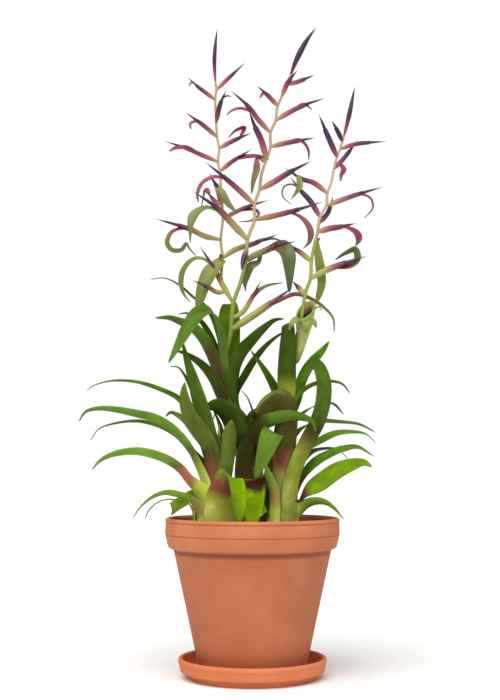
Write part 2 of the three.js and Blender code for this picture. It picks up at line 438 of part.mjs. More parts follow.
// A thin curved strip. Each station holds a centre, a tangent, a normal, a half width, a roll radius and a
// thickness.
function bladeGeometry(stations, across, blunt) {
  const vertices = [];
  const triangles = [];
  const ringSize = across * 2;
  for (const { centre, tangent, normal, half, roll, thick } of stations) {
    const side = tangent.clone().cross(normal);
    for (const face of [1, -1]) {
      for (let j = 0; j < across; j += 1) {
        const share = (2 * j) / (across - 1) - 1;
        const angle = (share * half) / roll;
        const lift = (thick / 2) * (1 - LEAF.edgeThinning * share * share) * face;
        const point = centre.clone()
          .addScaledVector(side, (roll - lift) * Math.sin(angle))
          .addScaledVector(normal, roll - (roll - lift) * Math.cos(angle));
        vertices.push(point);
      }
    }
  }
  const quad = (a, b, c, d) => triangles.push([a, b, c], [a, c, d]);
  const last = (stations.length - 1) * ringSize;
  for (let start = 0; start < last; start += ringSize) {
    const next = start + ringSize;
    for (let j = 0; j < across - 1; j += 1) {
      quad(start + j, start + j + 1, next + j + 1, next + j);
      const under = start + across + j;
      const underNext = next + across + j;
      triangles.push([under, underNext + 1, under + 1], [under, underNext, underNext + 1]);
    }
    quad(start, next, next + across, start + across);
    const edge = across - 1;
    quad(start + edge, start + across + edge, next + across + edge, next + edge);
  }
  for (let j = 0; j < across - 1; j += 1) {
    quad(j, across + j, across + j + 1, j + 1);
    if (blunt) quad(last + j, last + j + 1, last + across + j + 1, last + across + j);
  }
  if (!blunt) {
    const { centre, tangent, half } = stations[stations.length - 1];
    const tip = vertices.push(centre.clone().addScaledVector(tangent, half * 2)) - 1;
    const edge = across - 1;
    for (let j = 0; j < edge; j += 1) {
      triangles.push([last + j, last + j + 1, tip], [last + across + j + 1, last + across + j, tip]);
    }
    triangles.push([last + across, last, tip], [last + edge, last + across + edge, tip]);
  }
  return geometryOf(vertices, triangles);
}

// The middle of a sheath's wall, measured from the shoot's axis.
function ringRadius(shoot, ring) {
  return shoot.core + GAP + shoot.sheath / 2 + shoot.ringStep * ring + RING_EASE;
}

function axisPoint({ axis }, height) {
  const above = axis.findIndex(([, , z], i) => i > 0 && z >= height);
  const i = above < 0 ? axis.length - 1 : above;
  const [low, high] = [vector(axis[i - 1]), vector(axis[i])];
  return low.clone().lerp(high, (height - low.z) / (high.z - low.z));
}

// Heights of a sheath's stations: its foot, one between or the bends of the axis, and where the blade leaves.
function sheathHeights({ axis }, rise) {
  const foot = axis[0][2] + GAP;
  const bends = axis.slice(1).map(([, , z]) => z).filter((z) => z < rise - BEND_CLEARANCE);
  return [foot, ...(bends.length ? bends : [(foot + rise) / 2]), rise];
}

// Runs up the sheath from the soil, and then along the blade.
function leafPath(shoot, leaf) {
  const out = around(leaf.facing).multiplyScalar(ringRadius(shoot, leaf.ring));
  const sheath = sheathHeights(shoot, leaf.rise).map((height) => axisPoint(shoot, height).add(out));
  return [...sheath, ...leaf.route.map(vector)];
}

function reachAlong(points) {
  const reach = [0];
  for (let i = 1; i < points.length; i += 1) reach.push(reach[i - 1] + points[i].distanceTo(points[i - 1]));
  return reach;
}

// Swell grows the blade on every side, for cutting its place out of a neighbour.
function leafGeometry(shoot, leaf, swell = 0) {
  const path = leafPath(shoot, leaf);
  const reach = reachAlong(path);
  const length = reach[reach.length - 1];
  const freed = reach[sheathHeights(shoot, leaf.rise).length - 1] / length;
  const { tangents, normals } = carriedFrames(path, around(leaf.facing).negate(), UP);
  const middle = Math.floor(path.length / 2);
  const turn = tangents[middle].clone().cross(normals[middle]).y < 0 ? 1 : -1;
  const radius = ringRadius(shoot, leaf.ring);
  const sheathHalf = radius * degToRad(leaf.wrap ?? LEAF.wrap);
  const bladeRoll = leaf.roll ?? leaf.width * LEAF.rollPerWidth;
  const taperFrom = leaf.taper ?? LEAF.taperStart;
  const stations = path.map((centre, i) => {
    const along = reach[i] / length;
    const opened = smoothstep(along, freed * LEAF.opensFrom, freed + LEAF.opensOver);
    const point = Math.max(0, (along - taperFrom) / (1 - taperFrom));
    const taper = leaf.blunt ? 1 : 1 - (1 - LEAF.tipShare) * point ** LEAF.taperPower;
    const tilt = degToRad(leaf.tilt) * smoothstep(along, freed, freed + LEAF.turnsOver) * turn;
    return {
      centre,
      tangent: tangents[i],
      normal: normals[i].clone().applyAxisAngle(tangents[i], tilt),
      half: lerp(sheathHalf, leaf.width / 2, opened) * taper + swell,
      roll: lerp(radius, bladeRoll, opened),
      thick: lerp(shoot.sheath, shoot.blade, opened) + 2 * swell,
    };
  });
  return bladeGeometry(stations, leaf.width < LEAF.narrow ? 3 : LEAF.across, leaf.blunt);
}

function crownGeometry(shoot) {
  const crown = lathe([
    [0, CROWN.foot], [shoot.core, CROWN.foot], [shoot.core * CROWN.waistShare, CROWN.waist], [0, CROWN.top],
  ], CROWN.sides);
  return crown.translate(shoot.axis[0][0], shoot.axis[0][1], 0);
}

// ---- Flower stalks ----

// A closed tube with its own radius at each point. It ends flat, or in a point.
function taperedTube(points, radii, sides, tip) {
  const start = points[1].clone().sub(points[0]).normalize();
  const across = new THREE.Vector3(0, -1, 0).addScaledVector(start, start.y).normalize();
  const { tangents, normals } = carriedFrames(points, across);
  const vertices = [];
  const triangles = [];
  points.forEach((point, i) => {
    const side = tangents[i].clone().cross(normals[i]);
    for (let k = 0; k < sides; k += 1) {
      const angle = (2 * Math.PI * k) / sides;
      vertices.push(point.clone()
        .addScaledVector(normals[i], radii[i] * Math.cos(angle))
        .addScaledVector(side, radii[i] * Math.sin(angle)));
    }
  });
  const last = (points.length - 1) * sides;
  for (let start = 0; start < last; start += sides) {
    for (let k = 0; k < sides; k += 1) {
      const turn = (k + 1) % sides;
      triangles.push([start + k, start + turn, start + sides + turn]);
      triangles.push([start + k, start + sides + turn, start + sides + k]);
    }
  }
  const end = tip ? vertices.push(tip) - 1 : last;
  for (let k = 0; k < sides; k += 1) {
    if (k > 1) triangles.push([0, k, k - 1]);
    if (tip) triangles.push([last + k, last + ((k + 1) % sides), end]);
    else if (k > 1) triangles.push([last, last + k - 1, last + k]);
  }
  return geometryOf(vertices, triangles);
}

function stemSolid({ thick, thin, route }, swell) {
  const points = route.map(vector);
  const last = points.length - 1;
  const radii = points.map((point, i) => lerp(thick, thin, Math.sqrt(i / last)) / 2 + swell);
  return toSolid(taperedTube(points, radii, FLOWER.sides + 1));
}

function nearest(points, target) {
  return points.reduce((best, point) => (point.distanceTo(target) < best.distanceTo(target) ? point : best));
}

function nearestOnStems(stems, target) {
  return nearest(stems.flatMap(({ route }) => route.slice(1).map((end, i) => (
    new THREE.Line3(vector(route[i]), vector(end)).closestPointToPoint(target, true, new THREE.Vector3())
  ))), target);
}

// A pod starts on the stem's axis, so that its root is sunk in the stem.
function podCurve(flower, stems) {
  const [first, ...rest] = flower.pod.map(vector);
  return new THREE.CatmullRomCurve3([nearestOnStems(stems, first), ...rest], false, 'centripetal');
}

function podSolid(flower, curve, swell) {
  const profile = flower.spindle ? FLOWER.spindle : FLOWER.pod;
  const points = profile.map(([share]) => curve.getPointAt(share));
  const radii = profile.map(([, girth]) => (girth * flower.girth) / 2 + swell);
  const tip = curve.getPointAt(1).addScaledVector(curve.getTangentAt(1), swell * 2);
  return toSolid(taperedTube(points, radii, FLOWER.sides, tip));
}

// Half a bract's width at a share of its length.
function bractHalf({ width, leafy }, along) {
  if (!leafy) {
    const opening = Math.min(1, FLOWER.bractRoot + FLOWER.bractWidens * along);
    return (width / 2) * opening * (1 - FLOWER.bractNarrows * along ** FLOWER.bractPower);
  }
  const opening = lerp(FLOWER.leafyNeck, 1, smoothstep(along, FLOWER.leafyFrom, FLOWER.leafyWidest));
  return (width / 2) * opening * (1 - FLOWER.bractNarrows * smoothstep(along, FLOWER.leafyWidest, 1));
}

// A bract is a thin strip that ends in a point.
function bractSolid(bract, route, swell) {
  const path = new THREE.CatmullRomCurve3(route, false, 'centripetal');
  const centres = path.getPoints(route.length);
  const { tangents, normals } = carriedFrames(centres, vector(FLOWER.bractFace));
  const stations = centres.map((centre, i) => ({
    centre,
    tangent: tangents[i],
    normal: normals[i],
    half: bractHalf(bract, i / route.length) + swell,
    roll: bract.width,
    thick: FLOWER.bractThick + 2 * swell,
  }));
  return toSolid(bladeGeometry(stations, bract.width < FLOWER.wideBract ? 2 : 3, false));
}

// A flower's bract roots on the pod's own axis, at the point nearest to where its route starts.
function rootedBract(flower, podAxis) {
  const [first, ...rest] = flower.bract.map(vector);
  const axis = podAxis.getSpacedPoints(FLOWER.rootSteps).slice(0, -FLOWER.rootSteps * FLOWER.pointShare);
  return [nearest(axis, first), ...rest];
}

// The swollen collar stays full, so that nothing is let into its mouth.
function collarSolids({ axis, girths, mouth, faces, lips }, swell) {
  const points = axis.map(vector);
  const radii = girths.map((girth) => girth / 2 + swell);
  let cup = toSolid(taperedTube(points, radii, COLLAR.sides));
  if (!swell) {
    const inside = radii.map((radius) => radius - COLLAR.wall);
    const from = COLLAR.hollowFrom;
    cup = cup.subtract(toSolid(taperedTube(points.slice(from), inside.slice(from), COLLAR.sides)));
  }
  const down = vector(faces).normalize().negate();
  cup = cup.trimByPlane(down.toArray(), down.dot(vector(mouth)) - swell);
  return [cup, ...lips.map((lip) => bractSolid(lip, lip.route.map(vector), swell))];
}

function stalkSolid({ stems, collar, flowers }, swell = 0) {
  const pieces = stems.map((stem) => stemSolid(stem, swell));
  if (collar) pieces.push(...collarSolids(collar, swell));
  for (const flower of flowers) {
    const axis = podCurve(flower, stems);
    pieces.push(podSolid(flower, axis, swell));
    if (flower.bract) pieces.push(bractSolid(flower, rootedBract(flower, axis), swell));
  }
  return wasm.Manifold.union(pieces).asOriginal().simplify(JOIN_TOLERANCE);
}

// ---- Pot, saucer and soil ----

function saucerGeometry() {
  const s = SAUCER;
  const inner = s.rimRadius - s.wall;
  return lathe([
    [0, 0],
    [s.footRadius, 0],
    [s.footRadius + s.footFlare, s.skirtBottom - s.edge],
    [s.skirtRadius - s.edge, s.skirtBottom],
    [s.skirtRadius, s.skirtBottom + s.edge],
    [s.rimRadius - s.lipStandsOut, s.height - s.lipHeight],
    [s.rimRadius, s.height - s.lipHeight + s.edge],
    [s.rimRadius - s.edge / 3, s.height - s.edge],
    [s.rimRadius - s.wall / 2, s.height],
    [inner + s.edge / 3, s.height - s.edge],
    [inner, s.height - 3 * s.edge],
    [inner - 2 * s.edge, s.floorTop + 2 * s.edge],
    [inner - 4 * s.edge, s.floorTop],
    [0, s.floorTop],
  ]);
}

const potBase = SAUCER.floorTop + GAP;

function potOuter() {
  const p = POT;
  const band = p.rimRadius - p.bandLean;
  const groove = (z) => [
    [band - p.bandLean, z - p.grooveHalf],
    [band - p.grooveDepth, z],
    [band, z + p.grooveHalf],
  ];
  return [
    [p.drainRadius, potBase],
    [p.footRadius - p.edge, potBase],
    [p.footRadius, potBase + p.edge],
    [p.neckRadius, p.neckHeight],
    [p.bandBottomRadius - p.edge, p.bandBottom - p.edge],
    [p.bandBottomRadius, p.bandBottom + p.edge],
    ...groove(p.bandGroove),
    ...groove(p.lipLine),
    [p.rimRadius, p.rimTop - p.lipRound],
    [p.rimRadius - p.lipRound, p.rimTop],
    [p.rimRadius - p.wall + p.edge, p.rimTop - p.edge / 2],
  ];
}

// The inside wall, from the rim down to the floor.
function potInner(clearance = 0) {
  const p = POT;
  const rim = p.rimRadius - p.wall - clearance;
  return [
    [rim, p.rimTop - 2 * p.edge],
    [rim - p.insideSlope, SOIL_TOP],
    [p.neckRadius - p.wall - clearance, p.neckHeight],
    [p.footRadius - p.wall + p.edge - clearance, potBase + p.floor + clearance],
  ];
}

function potGeometry() {
  const profile = [...potOuter(), ...potInner(), [POT.drainRadius, potBase + POT.floor]];
  return lathe([...profile, profile[0]]);
}

function soilGeometry() {
  const wall = potInner(GAP);
  const profile = [[0, potBase + POT.floor + GAP], wall[3], wall[2], wall[1], [0, SOIL_TOP]];
  let soil = toSolid(lathe(profile));
  for (const [name, shoot] of Object.entries(SHOOTS)) {
    const outermost = Math.max(...LEAVES[name].map((leaf) => leaf.ring));
    const [low, high] = [vector(shoot.axis[0]), axisPoint(shoot, SOIL_TOP)];
    const lean = Math.hypot(high.x - low.x, high.y - low.y);
    const radius = ringRadius(shoot, outermost) + (shoot.sheath + lean) / 2 + 2 * GAP;
    const hole = lathe([[0, 0], [radius, 0], [radius, HOLE_CUT], [0, HOLE_CUT]], HOLE_SIDES);
    hole.translate((low.x + high.x) / 2, (low.y + high.y) / 2, low.z);
    soil = soil.subtract(toSolid(hole));
  }
  return toGeometry(soil);
}

// ---- Assembly ----

const plant = new THREE.Group();

function place(name, geometry, color, roughness) {
  const mesh = new THREE.Mesh(geometry, new THREE.MeshStandardMaterial({ color, roughness, metalness: 0 }));
  mesh.name = name;
  plant.add(mesh);
}

// Solids that later leaves must clear, each swollen by the gap.
const standing = [];

function boxesMeet(a, b) {
  const boxA = a.boundingBox();
  const boxB = b.boundingBox();
  return [0, 1, 2].every((k) => boxA.min[k] <= boxB.max[k] && boxB.min[k] <= boxA.max[k]);
}

// Cuts a leaf back from what it would cross, and keeps its main piece.
function clearOf(whole) {
  let own = whole;
  for (const other of standing) {
    const crosses = boxesMeet(own, other.solid) && own.intersect(other.solid).volume() > 0;
    if (crosses) own = own.subtract(other.swollen);
  }
  if (own === whole) return whole;
  const main = own.decompose().reduce((best, piece) => (piece.volume() > best.volume() ? piece : best));
  return main.asOriginal().simplify(CUT_TOLERANCE);
}

place('saucer', saucerGeometry(), 0xcf8158, 0.9);
place('pot', potGeometry(), 0xd4875e, 0.9);
place('soil', soilGeometry(), 0x3a2a1e, 1);
place('left_shoot_crown', crownGeometry(SHOOTS.left), 0xb9b27a, 0.6);

for (const [name, stalk] of Object.entries(STALKS)) {
  const solid = stalkSolid(stalk);
  place(`${name}_flower_stalk`, toGeometry(solid), 0x9a4f62, 0.5);
  standing.push({ solid, swollen: stalkSolid(stalk, GAP) });
}

for (const [name, shoot] of Object.entries(SHOOTS)) {
  const leaves = LEAVES[name].map((leaf, i) => ({ ...leaf, label: String(i + 1).padStart(2, '0') }));
  for (const leaf of leaves.sort((a, b) => a.ring - b.ring)) {
    const solid = clearOf(toSolid(leafGeometry(shoot, leaf)));
    place(`${name}_leaf_${leaf.label}`, toGeometry(solid), TONES[leaf.tone], 0.45);
    standing.push({ solid, swollen: toSolid(leafGeometry(shoot, leaf, GAP)) });
  }
}

export default plant;
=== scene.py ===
"""Potted bromeliad: three shoots of strap leaves and two flower stalks, in a clay pot on a clay saucer.

Sizes are in millimetres up to the moment a mesh is made, and in metres from there on. The origin is the
centre of the saucer's flat underside, +Z is up and -Y is the front.
"""

import logging
import math
import random
from collections.abc import Callable, Sequence
from dataclasses import dataclass
from enum import Enum

import bmesh
import bpy
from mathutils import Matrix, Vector, noise


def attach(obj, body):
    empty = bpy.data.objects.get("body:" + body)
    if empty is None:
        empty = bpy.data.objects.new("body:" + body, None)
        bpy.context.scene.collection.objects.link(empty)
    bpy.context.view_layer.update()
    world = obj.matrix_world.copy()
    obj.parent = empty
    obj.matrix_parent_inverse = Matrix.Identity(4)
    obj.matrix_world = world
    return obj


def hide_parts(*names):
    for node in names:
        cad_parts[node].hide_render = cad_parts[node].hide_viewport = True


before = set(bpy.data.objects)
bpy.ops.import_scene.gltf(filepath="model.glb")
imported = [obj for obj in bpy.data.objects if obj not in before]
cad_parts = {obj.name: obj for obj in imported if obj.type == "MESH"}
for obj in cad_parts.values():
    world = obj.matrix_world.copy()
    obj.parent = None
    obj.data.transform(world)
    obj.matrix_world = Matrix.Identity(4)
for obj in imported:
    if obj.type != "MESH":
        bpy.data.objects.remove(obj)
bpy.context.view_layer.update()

log = logging.getLogger("bromeliad")

MM = 0.001
GAP = 0.3  # the clearance between the solids, in millimetres
CM = 10.0  # the unit of what a leaf's finish reads, in millimetres
MERGE = 1e-6  # how near two corners lie when they are one, in metres
SHARP = 0.3  # the turn from which an edge is rounded, in radians
UP = Vector((0, 0, 1))
FRONT = Vector((0, -1, 0))
Point = tuple[float, float, float]
Marks = dict[str, float]
Span = tuple[float, float]
Profile = Sequence[Span]
Stops = tuple[tuple[float, str], ...]


def linear(code: str) -> tuple[float, float, float, float]:
    """Turns a colour into linear light.

    Args:
        code: The colour, such as "d4875e".

    Returns:
        Its red, green, blue and alpha.
    """
    shares = [int(code[i:i + 2], 16) / 255 for i in (0, 2, 4)]
    red, green, blue = (s / 12.92 if s <= 0.04045 else ((s + 0.055) / 1.055) ** 2.4 for s in shares)
    return red, green, blue, 1.0


def blend(a: float, b: float, share: float) -> float:
    """Goes from a to b as share goes from 0 to 1."""
    return a + (b - a) * share


def eased(x: float, low: float, high: float) -> float:
    """Rises smoothly from 0 at low to 1 at high."""
    t = min(max((x - low) / (high - low), 0.0), 1.0)
    return t * t * (3 - 2 * t)


# ---- Materials ----


class Value:
    """A number in a shader, with Python's arithmetic on it."""

    def __init__(self, recipe: "Recipe", socket: bpy.types.NodeSocket) -> None:
        """Wraps a socket of a recipe's tree."""
        self.recipe = recipe
        self.socket = socket

    def __add__(self, other: "Value | float") -> "Value":
        """Adds."""
        return self.recipe.math("ADD", self, other)

    __radd__ = __add__

    def __mul__(self, other: "Value | float") -> "Value":
        """Multiplies."""
        return self.recipe.math("MULTIPLY", self, other)

    __rmul__ = __mul__

    def __sub__(self, other: "Value | float") -> "Value":
        """Takes other away."""
        return self.recipe.math("SUBTRACT", self, other)

    def __rsub__(self, other: float) -> "Value":
        """Is taken away from other."""
        return self.recipe.math("SUBTRACT", other, self)

    def __abs__(self) -> "Value":
        """Drops the sign."""
        return self.recipe.math("ABSOLUTE", self)

    def varies(self, amount: float) -> "Value":
        """Swings either side of 0 as this number goes either side of a half."""
        return (self - 0.5) * amount

    def rises(self, low: float, high: float) -> "Value":
        """Rises smoothly from 0 to 1.

        Args:
            low: Where it is still 0.
            high: Where it reaches 1.

        Returns:
            The risen number.
        """
        sockets = {"Value": self, "From Min": low, "From Max": high}
        node = self.recipe.node("ShaderNodeMapRange", {"interpolation_type": "SMOOTHSTEP"}, sockets)
        return Value(self.recipe, node.outputs[0])


class NodeTree:
    """The nodes of a material or of the room."""

    def __init__(self, tree: bpy.types.NodeTree) -> None:
        """Wraps Blender's tree."""
        self.tree = tree

    def feed(self, socket: bpy.types.NodeSocket, value: object) -> None:
        """Links a value to a socket, or sets the socket to it.

        Args:
            socket: The socket.
            value: A socket or number of this tree, or what the socket is set to.
        """
        if isinstance(value, Value):
            value = value.socket
        if isinstance(value, bpy.types.NodeSocket):
            self.tree.links.new(value, socket)
        else:
            socket.default_value = value

    def node(self, kind: str, settings: dict | None = None, sockets: dict | None = None) -> bpy.types.Node:
        """Adds a node.

        Args:
            kind: The node's type.
            settings: What is set on the node itself, or "stops" for a ramp's positions and colours.
            sockets: Values or links of its sockets, by name or number.

        Returns:
            The node.
        """
        node = self.tree.nodes.new(kind)
        for key, value in (settings or {}).items():
            if key == "stops":
                while len(node.color_ramp.elements) < len(value):
                    node.color_ramp.elements.new(0.5)
                for element, (position, code) in zip(node.color_ramp.elements, value):
                    element.position = position
                    element.color = linear(code)
            else:
                setattr(node, key, value)
        for key, value in (sockets or {}).items():
            self.feed(node.inputs[key], value)
        return node


class Recipe(NodeTree):
    """The nodes of one material."""

    def __init__(self, name: str) -> None:
        """Starts a material.

        Args:
            name: Its name.
        """
        self.material = bpy.data.materials.new(name)
        self.material.use_nodes = True
        super().__init__(self.material.node_tree)
        self.shader = self.tree.nodes["Principled BSDF"]

    def math(self, operation: str, *values: "Value | float") -> Value:
        """Works out one step of arithmetic."""
        node = self.node("ShaderNodeMath", {"operation": operation}, dict(enumerate(values)))
        return Value(self, node.outputs[0])

    def attribute(self, name: str) -> Value:
        """Reads a number that a mesh carries at its corners."""
        return Value(self, self.node("ShaderNodeAttribute", {"attribute_name": name}).outputs["Fac"])

    def vector(self, *parts: "Value | float") -> bpy.types.NodeSocket:
        """Puts three numbers together."""
        return self.node("ShaderNodeCombineXYZ", None, dict(enumerate(parts))).outputs[0]

    def place(self, stretch: Point = (1, 1, 1)) -> bpy.types.NodeSocket:
        """Gives the place on the object in metres, stretched along each axis."""
        where = self.node("ShaderNodeTexCoord").outputs["Object"]
        return self.node("ShaderNodeVectorMath", {"operation": "MULTIPLY"}, {0: where, 1: stretch}).outputs[0]

    def noise(self, where: bpy.types.NodeSocket, scale: float, detail: float = 3) -> Value:
        """Gives soft random patches around 0.5."""
        node = self.node("ShaderNodeTexNoise", None, {"Vector": where, "Scale": scale, "Detail": detail})
        return Value(self, node.outputs["Fac"])

    def streaks(self, across: Value, along: Value, seed: "Value | float", scale: Span, detail: float = 3) -> Value:
        """Gives soft random streaks along a leaf or a flower part.

        Args:
            across: The place across it.
            along: The place along it.
            seed: What makes it differ from the others.
            scale: How fine the streaks are across it and along it.
            detail: How much finer noise lies over them.

        Returns:
            The streaks, around a half.
        """
        return self.noise(self.vector(across * scale[0], along * scale[1], seed), 1.0, detail)

    def mix(self, share: "Value | float", a: object, b: object) -> bpy.types.NodeSocket:
        """Mixes two colours, each a link or a code, from a at 0 to b at 1."""
        a, b = (linear(c) if isinstance(c, str) else c for c in (a, b))
        return self.node("ShaderNodeMix", {"data_type": "RGBA"}, {0: share, 6: a, 7: b}).outputs[2]

    def ramp(self, share: Value, stops: Stops) -> bpy.types.NodeSocket:
        """Colours a number by stops."""
        return self.node("ShaderNodeValToRGB", {"stops": stops}, {0: share}).outputs[0]

    def brighter(self, colour: bpy.types.NodeSocket, factor: "Value | float") -> bpy.types.NodeSocket:
        """Multiplies a colour by a number."""
        return self.node("ShaderNodeVectorMath", {"operation": "SCALE"}, {0: colour, 3: factor}).outputs[0]

    def relief(self, height: Value, depth: float, strength: float = 1.0) -> bpy.types.NodeSocket:
        """Turns a height from 0 to 1 into a relief of that depth in metres."""
        sockets = {"Height": height, "Distance": depth, "Strength": strength}
        return self.node("ShaderNodeBump", None, sockets).outputs[0]

    def finish(self, **inputs: object) -> bpy.types.Material:
        """Sets the shader's sockets.

        Args:
            **inputs: What each socket gets, by its name with _ for a space.

        Returns:
            The material.
        """
        for key, value in inputs.items():
            self.feed(self.shader.inputs[key.replace("_", " ")], value)
        return self.material


class Tone(Enum):
    """The leaf colours, by the slot that each one fills."""

    LIME = "leaf_lime"
    GREEN = "leaf_green"
    OLIVE = "leaf_olive"
    DARK = "leaf_dark"


@dataclass(frozen=True)
class LeafFinish:
    """A satin leaf: pale where it sheathes the shoot, blushed where it leaves it, and green from there on.

    Each span is where a colour comes in or goes, in centimetres past the place where the blade leaves the sheath.
    """

    tone: Tone
    blade: str
    light: str
    under: str
    sheath: str
    foot: str = "bcb66c"
    # painted light: the sheath as light falls on it, laid on as much as a leaf's foot look asks
    lit: str = "a4b42c"
    # painted highlight: pale streaks laid over the sheath
    painted_glint: str = "d0cc8c"
    blush: str = "86463a"
    maroon: str = "3a140e"
    brown: str = "40301a"
    # painted reflection: the grey-green of the sky on the blade's lit faces
    bloom: str = "547428"
    edge: str = "5c4a22"
    dry: str = "8a7350"
    light_share: float = 0.8
    under_share: float = 0.7
    painted_glint_share: float = 0.5
    # how strong the painted highlight on the sheath is
    brown_share: float = 0.85
    edge_share: float = 0.3
    dry_share: float = 0.7
    foot_span: Span = (-5.5, -1.5)
    blade_span: Span = (-1.0, 1.5)
    brown_in: Span = (0.4, 2.2)
    brown_out: Span = (-2.5, 0.5)
    band_in: Span = (-0.9, 0.3)
    band_out: Span = (1.0, 2.4)
    rim_in: Span = (6, 8)
    # where the painted reflection comes in along the blade
    painted_sheen_in: Span = (0.5, 3)
    shaded_out: Span = (-3.2, -1.2)
    dry_tip: Span = (0.05, 0.5)
    rim_width: Span = (0.35, 0.6)
    edge_width: Span = (0.88, 1.0)
    cloud_scale: Span = (0.8, 0.6)
    fibre_scale: Span = (14, 0.3)
    vein_scale: Span = (30, 0.15)
    ragged: Span = (1.8, 1.0)
    mottled: Span = (0.6, 0.36)
    vein_depth: float = 0.0003
    gloss: float = 0.4
    sheen: float = 0.14
    sheen_tint: str = "b4c050"

    def material(self) -> bpy.types.Material:
        """Makes the material.

        Returns:
            The material.
        """
        r = Recipe(self.tone.value)
        across, under, seed = r.attribute("across"), r.attribute("under"), r.attribute("seed")
        past = r.attribute("rise") - r.attribute("band")
        clouds = r.streaks(across, past, seed, self.cloud_scale, 2)
        fibres = r.streaks(across, past, seed, self.fibre_scale, 2)
        reach = past + clouds.varies(self.ragged[0]) + fibres.varies(self.ragged[1])
        blade = r.mix(clouds.rises(0.3, 0.75) * self.light_share, self.blade, self.light)
        blade = r.mix(under * self.under_share, blade, self.under)
        sheath = r.mix(reach.rises(*self.foot_span), self.foot, self.sheath)
        # Painted light: the lit colour over the sheath, as strong as the leaf's foot look.
        sheath = r.mix(r.attribute("foot"), sheath, self.lit)
        # Painted highlights: pale streaks over the sheath.
        sheath = r.mix((fibres * 0.3 + clouds * 0.7).rises(0.45, 0.75) * self.painted_glint_share, sheath, self.painted_glint)
        body = r.mix(reach.rises(*self.blade_span), sheath, blade)
        brown = reach.rises(*self.brown_in) * (1 - (reach - r.attribute("brown")).rises(*self.brown_out))
        body = r.mix(brown * self.brown_share, body, self.brown)
        band = reach.rises(*self.band_in) * (1 - reach.rises(*self.band_out)) * r.attribute("blush")
        body = r.mix(band, body, r.mix(r.attribute("maroon"), self.blush, self.maroon))
        rim = (across * r.attribute("rim")).rises(*self.rim_width) * reach.rises(*self.rim_in)
        body = r.mix(rim, body, self.under)
        # Painted reflection: the sky's grey-green over the blade, as strong as the leaf asks.
        body = r.mix(r.attribute("bloom") * reach.rises(*self.painted_sheen_in), body, self.bloom)
        body = r.mix(abs(across).rises(*self.edge_width) * self.edge_share, body, self.edge)
        body = r.mix((1 - r.attribute("to_tip").rises(*self.dry_tip)) * self.dry_share, body, self.dry)
        # Painted shade: the lower sheath darkened as much as the leaf's deep look asks.
        shaded = (1 - reach.rises(*self.shaded_out)) * r.attribute("deep")
        light = 1 + r.attribute("shade") - shaded + clouds.varies(self.mottled[0]) + fibres.varies(self.mottled[1])
        body = r.brighter(body, light)
        veins = r.streaks(across, past, seed, self.vein_scale, 1)
        rough = self.gloss + clouds.varies(0.2) + under * 0.12
        return r.finish(Base_Color=body, Roughness=rough, Normal=r.relief(veins, self.vein_depth, 0.25),
                        Specular_IOR_Level=self.sheen, Specular_Tint=linear(self.sheen_tint))


@dataclass(frozen=True)
class FlowerFinish:
    """Flower parts, coloured from the stem to the point, with painted lilac highlights on their outer half."""

    name: str
    stops: Stops
    green: Stops
    spread: float
    plain: Stops = ((0.0, "8c8c40"), (0.15, "7e8434"), (0.6, "6a7626"), (1.0, "5a6428"))
    # painted highlight: lilac patches towards the point
    bloom: str = "8a6a94"
    painted_sheen_patches: Span = (0.52, 0.75)
    painted_sheen_from: Span = (0.45, 0.7)
    painted_sheen_share: float = 0.5
    painted_sheen_scale: Span = (9, 3.0)
    painted_sheen_seed: float = 5
    streak_scale: Span = (4, 2.0)
    mottled: float = 0.6
    fibre_depth: float = 0.0004
    gloss: float = 0.36
    sheen: float = 0.35

    def material(self) -> bpy.types.Material:
        """Makes the material.

        Returns:
            The material.
        """
        r = Recipe(self.name)
        along, seed, across = r.attribute("along"), r.attribute("seed"), r.attribute("across")
        streaks = r.streaks(across, along, seed, self.streak_scale)
        reach = along + r.attribute("dusk") + streaks.varies(self.spread)
        colour = r.mix(r.attribute("green"), r.ramp(reach, self.stops), r.ramp(reach, self.green))
        if self.name == "flower_bract":
            colour = r.mix(r.attribute("plain"), colour, r.ramp(reach, self.plain))
        # Painted highlights: lilac patches over the outer half.
        fine, long = self.painted_sheen_scale
        patches = r.noise(r.vector(across * fine, along * long, seed + self.painted_sheen_seed), 1.0)
        bloom = patches.rises(*self.painted_sheen_patches) * along.rises(*self.painted_sheen_from) * self.painted_sheen_share
        colour = r.mix(bloom, colour, self.bloom)
        colour = r.brighter(colour, 1 + r.attribute("shade") + streaks.varies(self.mottled))
        return r.finish(Base_Color=colour, Roughness=self.gloss + streaks.varies(0.2),
                        Normal=r.relief(streaks, self.fibre_depth, 0.3), Specular_IOR_Level=self.sheen)


@dataclass(frozen=True)
class CrownFinish:
    """The pale stub that the leaves grow from."""

    name: str = "shoot_crown"
    body: str = "a09a5c"
    scar: str = "6c5a34"
    scar_depth: float = 0.0006

    def material(self) -> bpy.types.Material:
        """Makes the material.

        Returns:
            The material.
        """
        r = Recipe(self.name)
        scars = r.noise(r.place((1, 1, 6)), 120, 3)
        colour = r.mix(scars.rises(0.35, 0.7), self.body, self.scar)
        return r.finish(Base_Color=colour, Roughness=0.6, Normal=r.relief(scars, self.scar_depth))


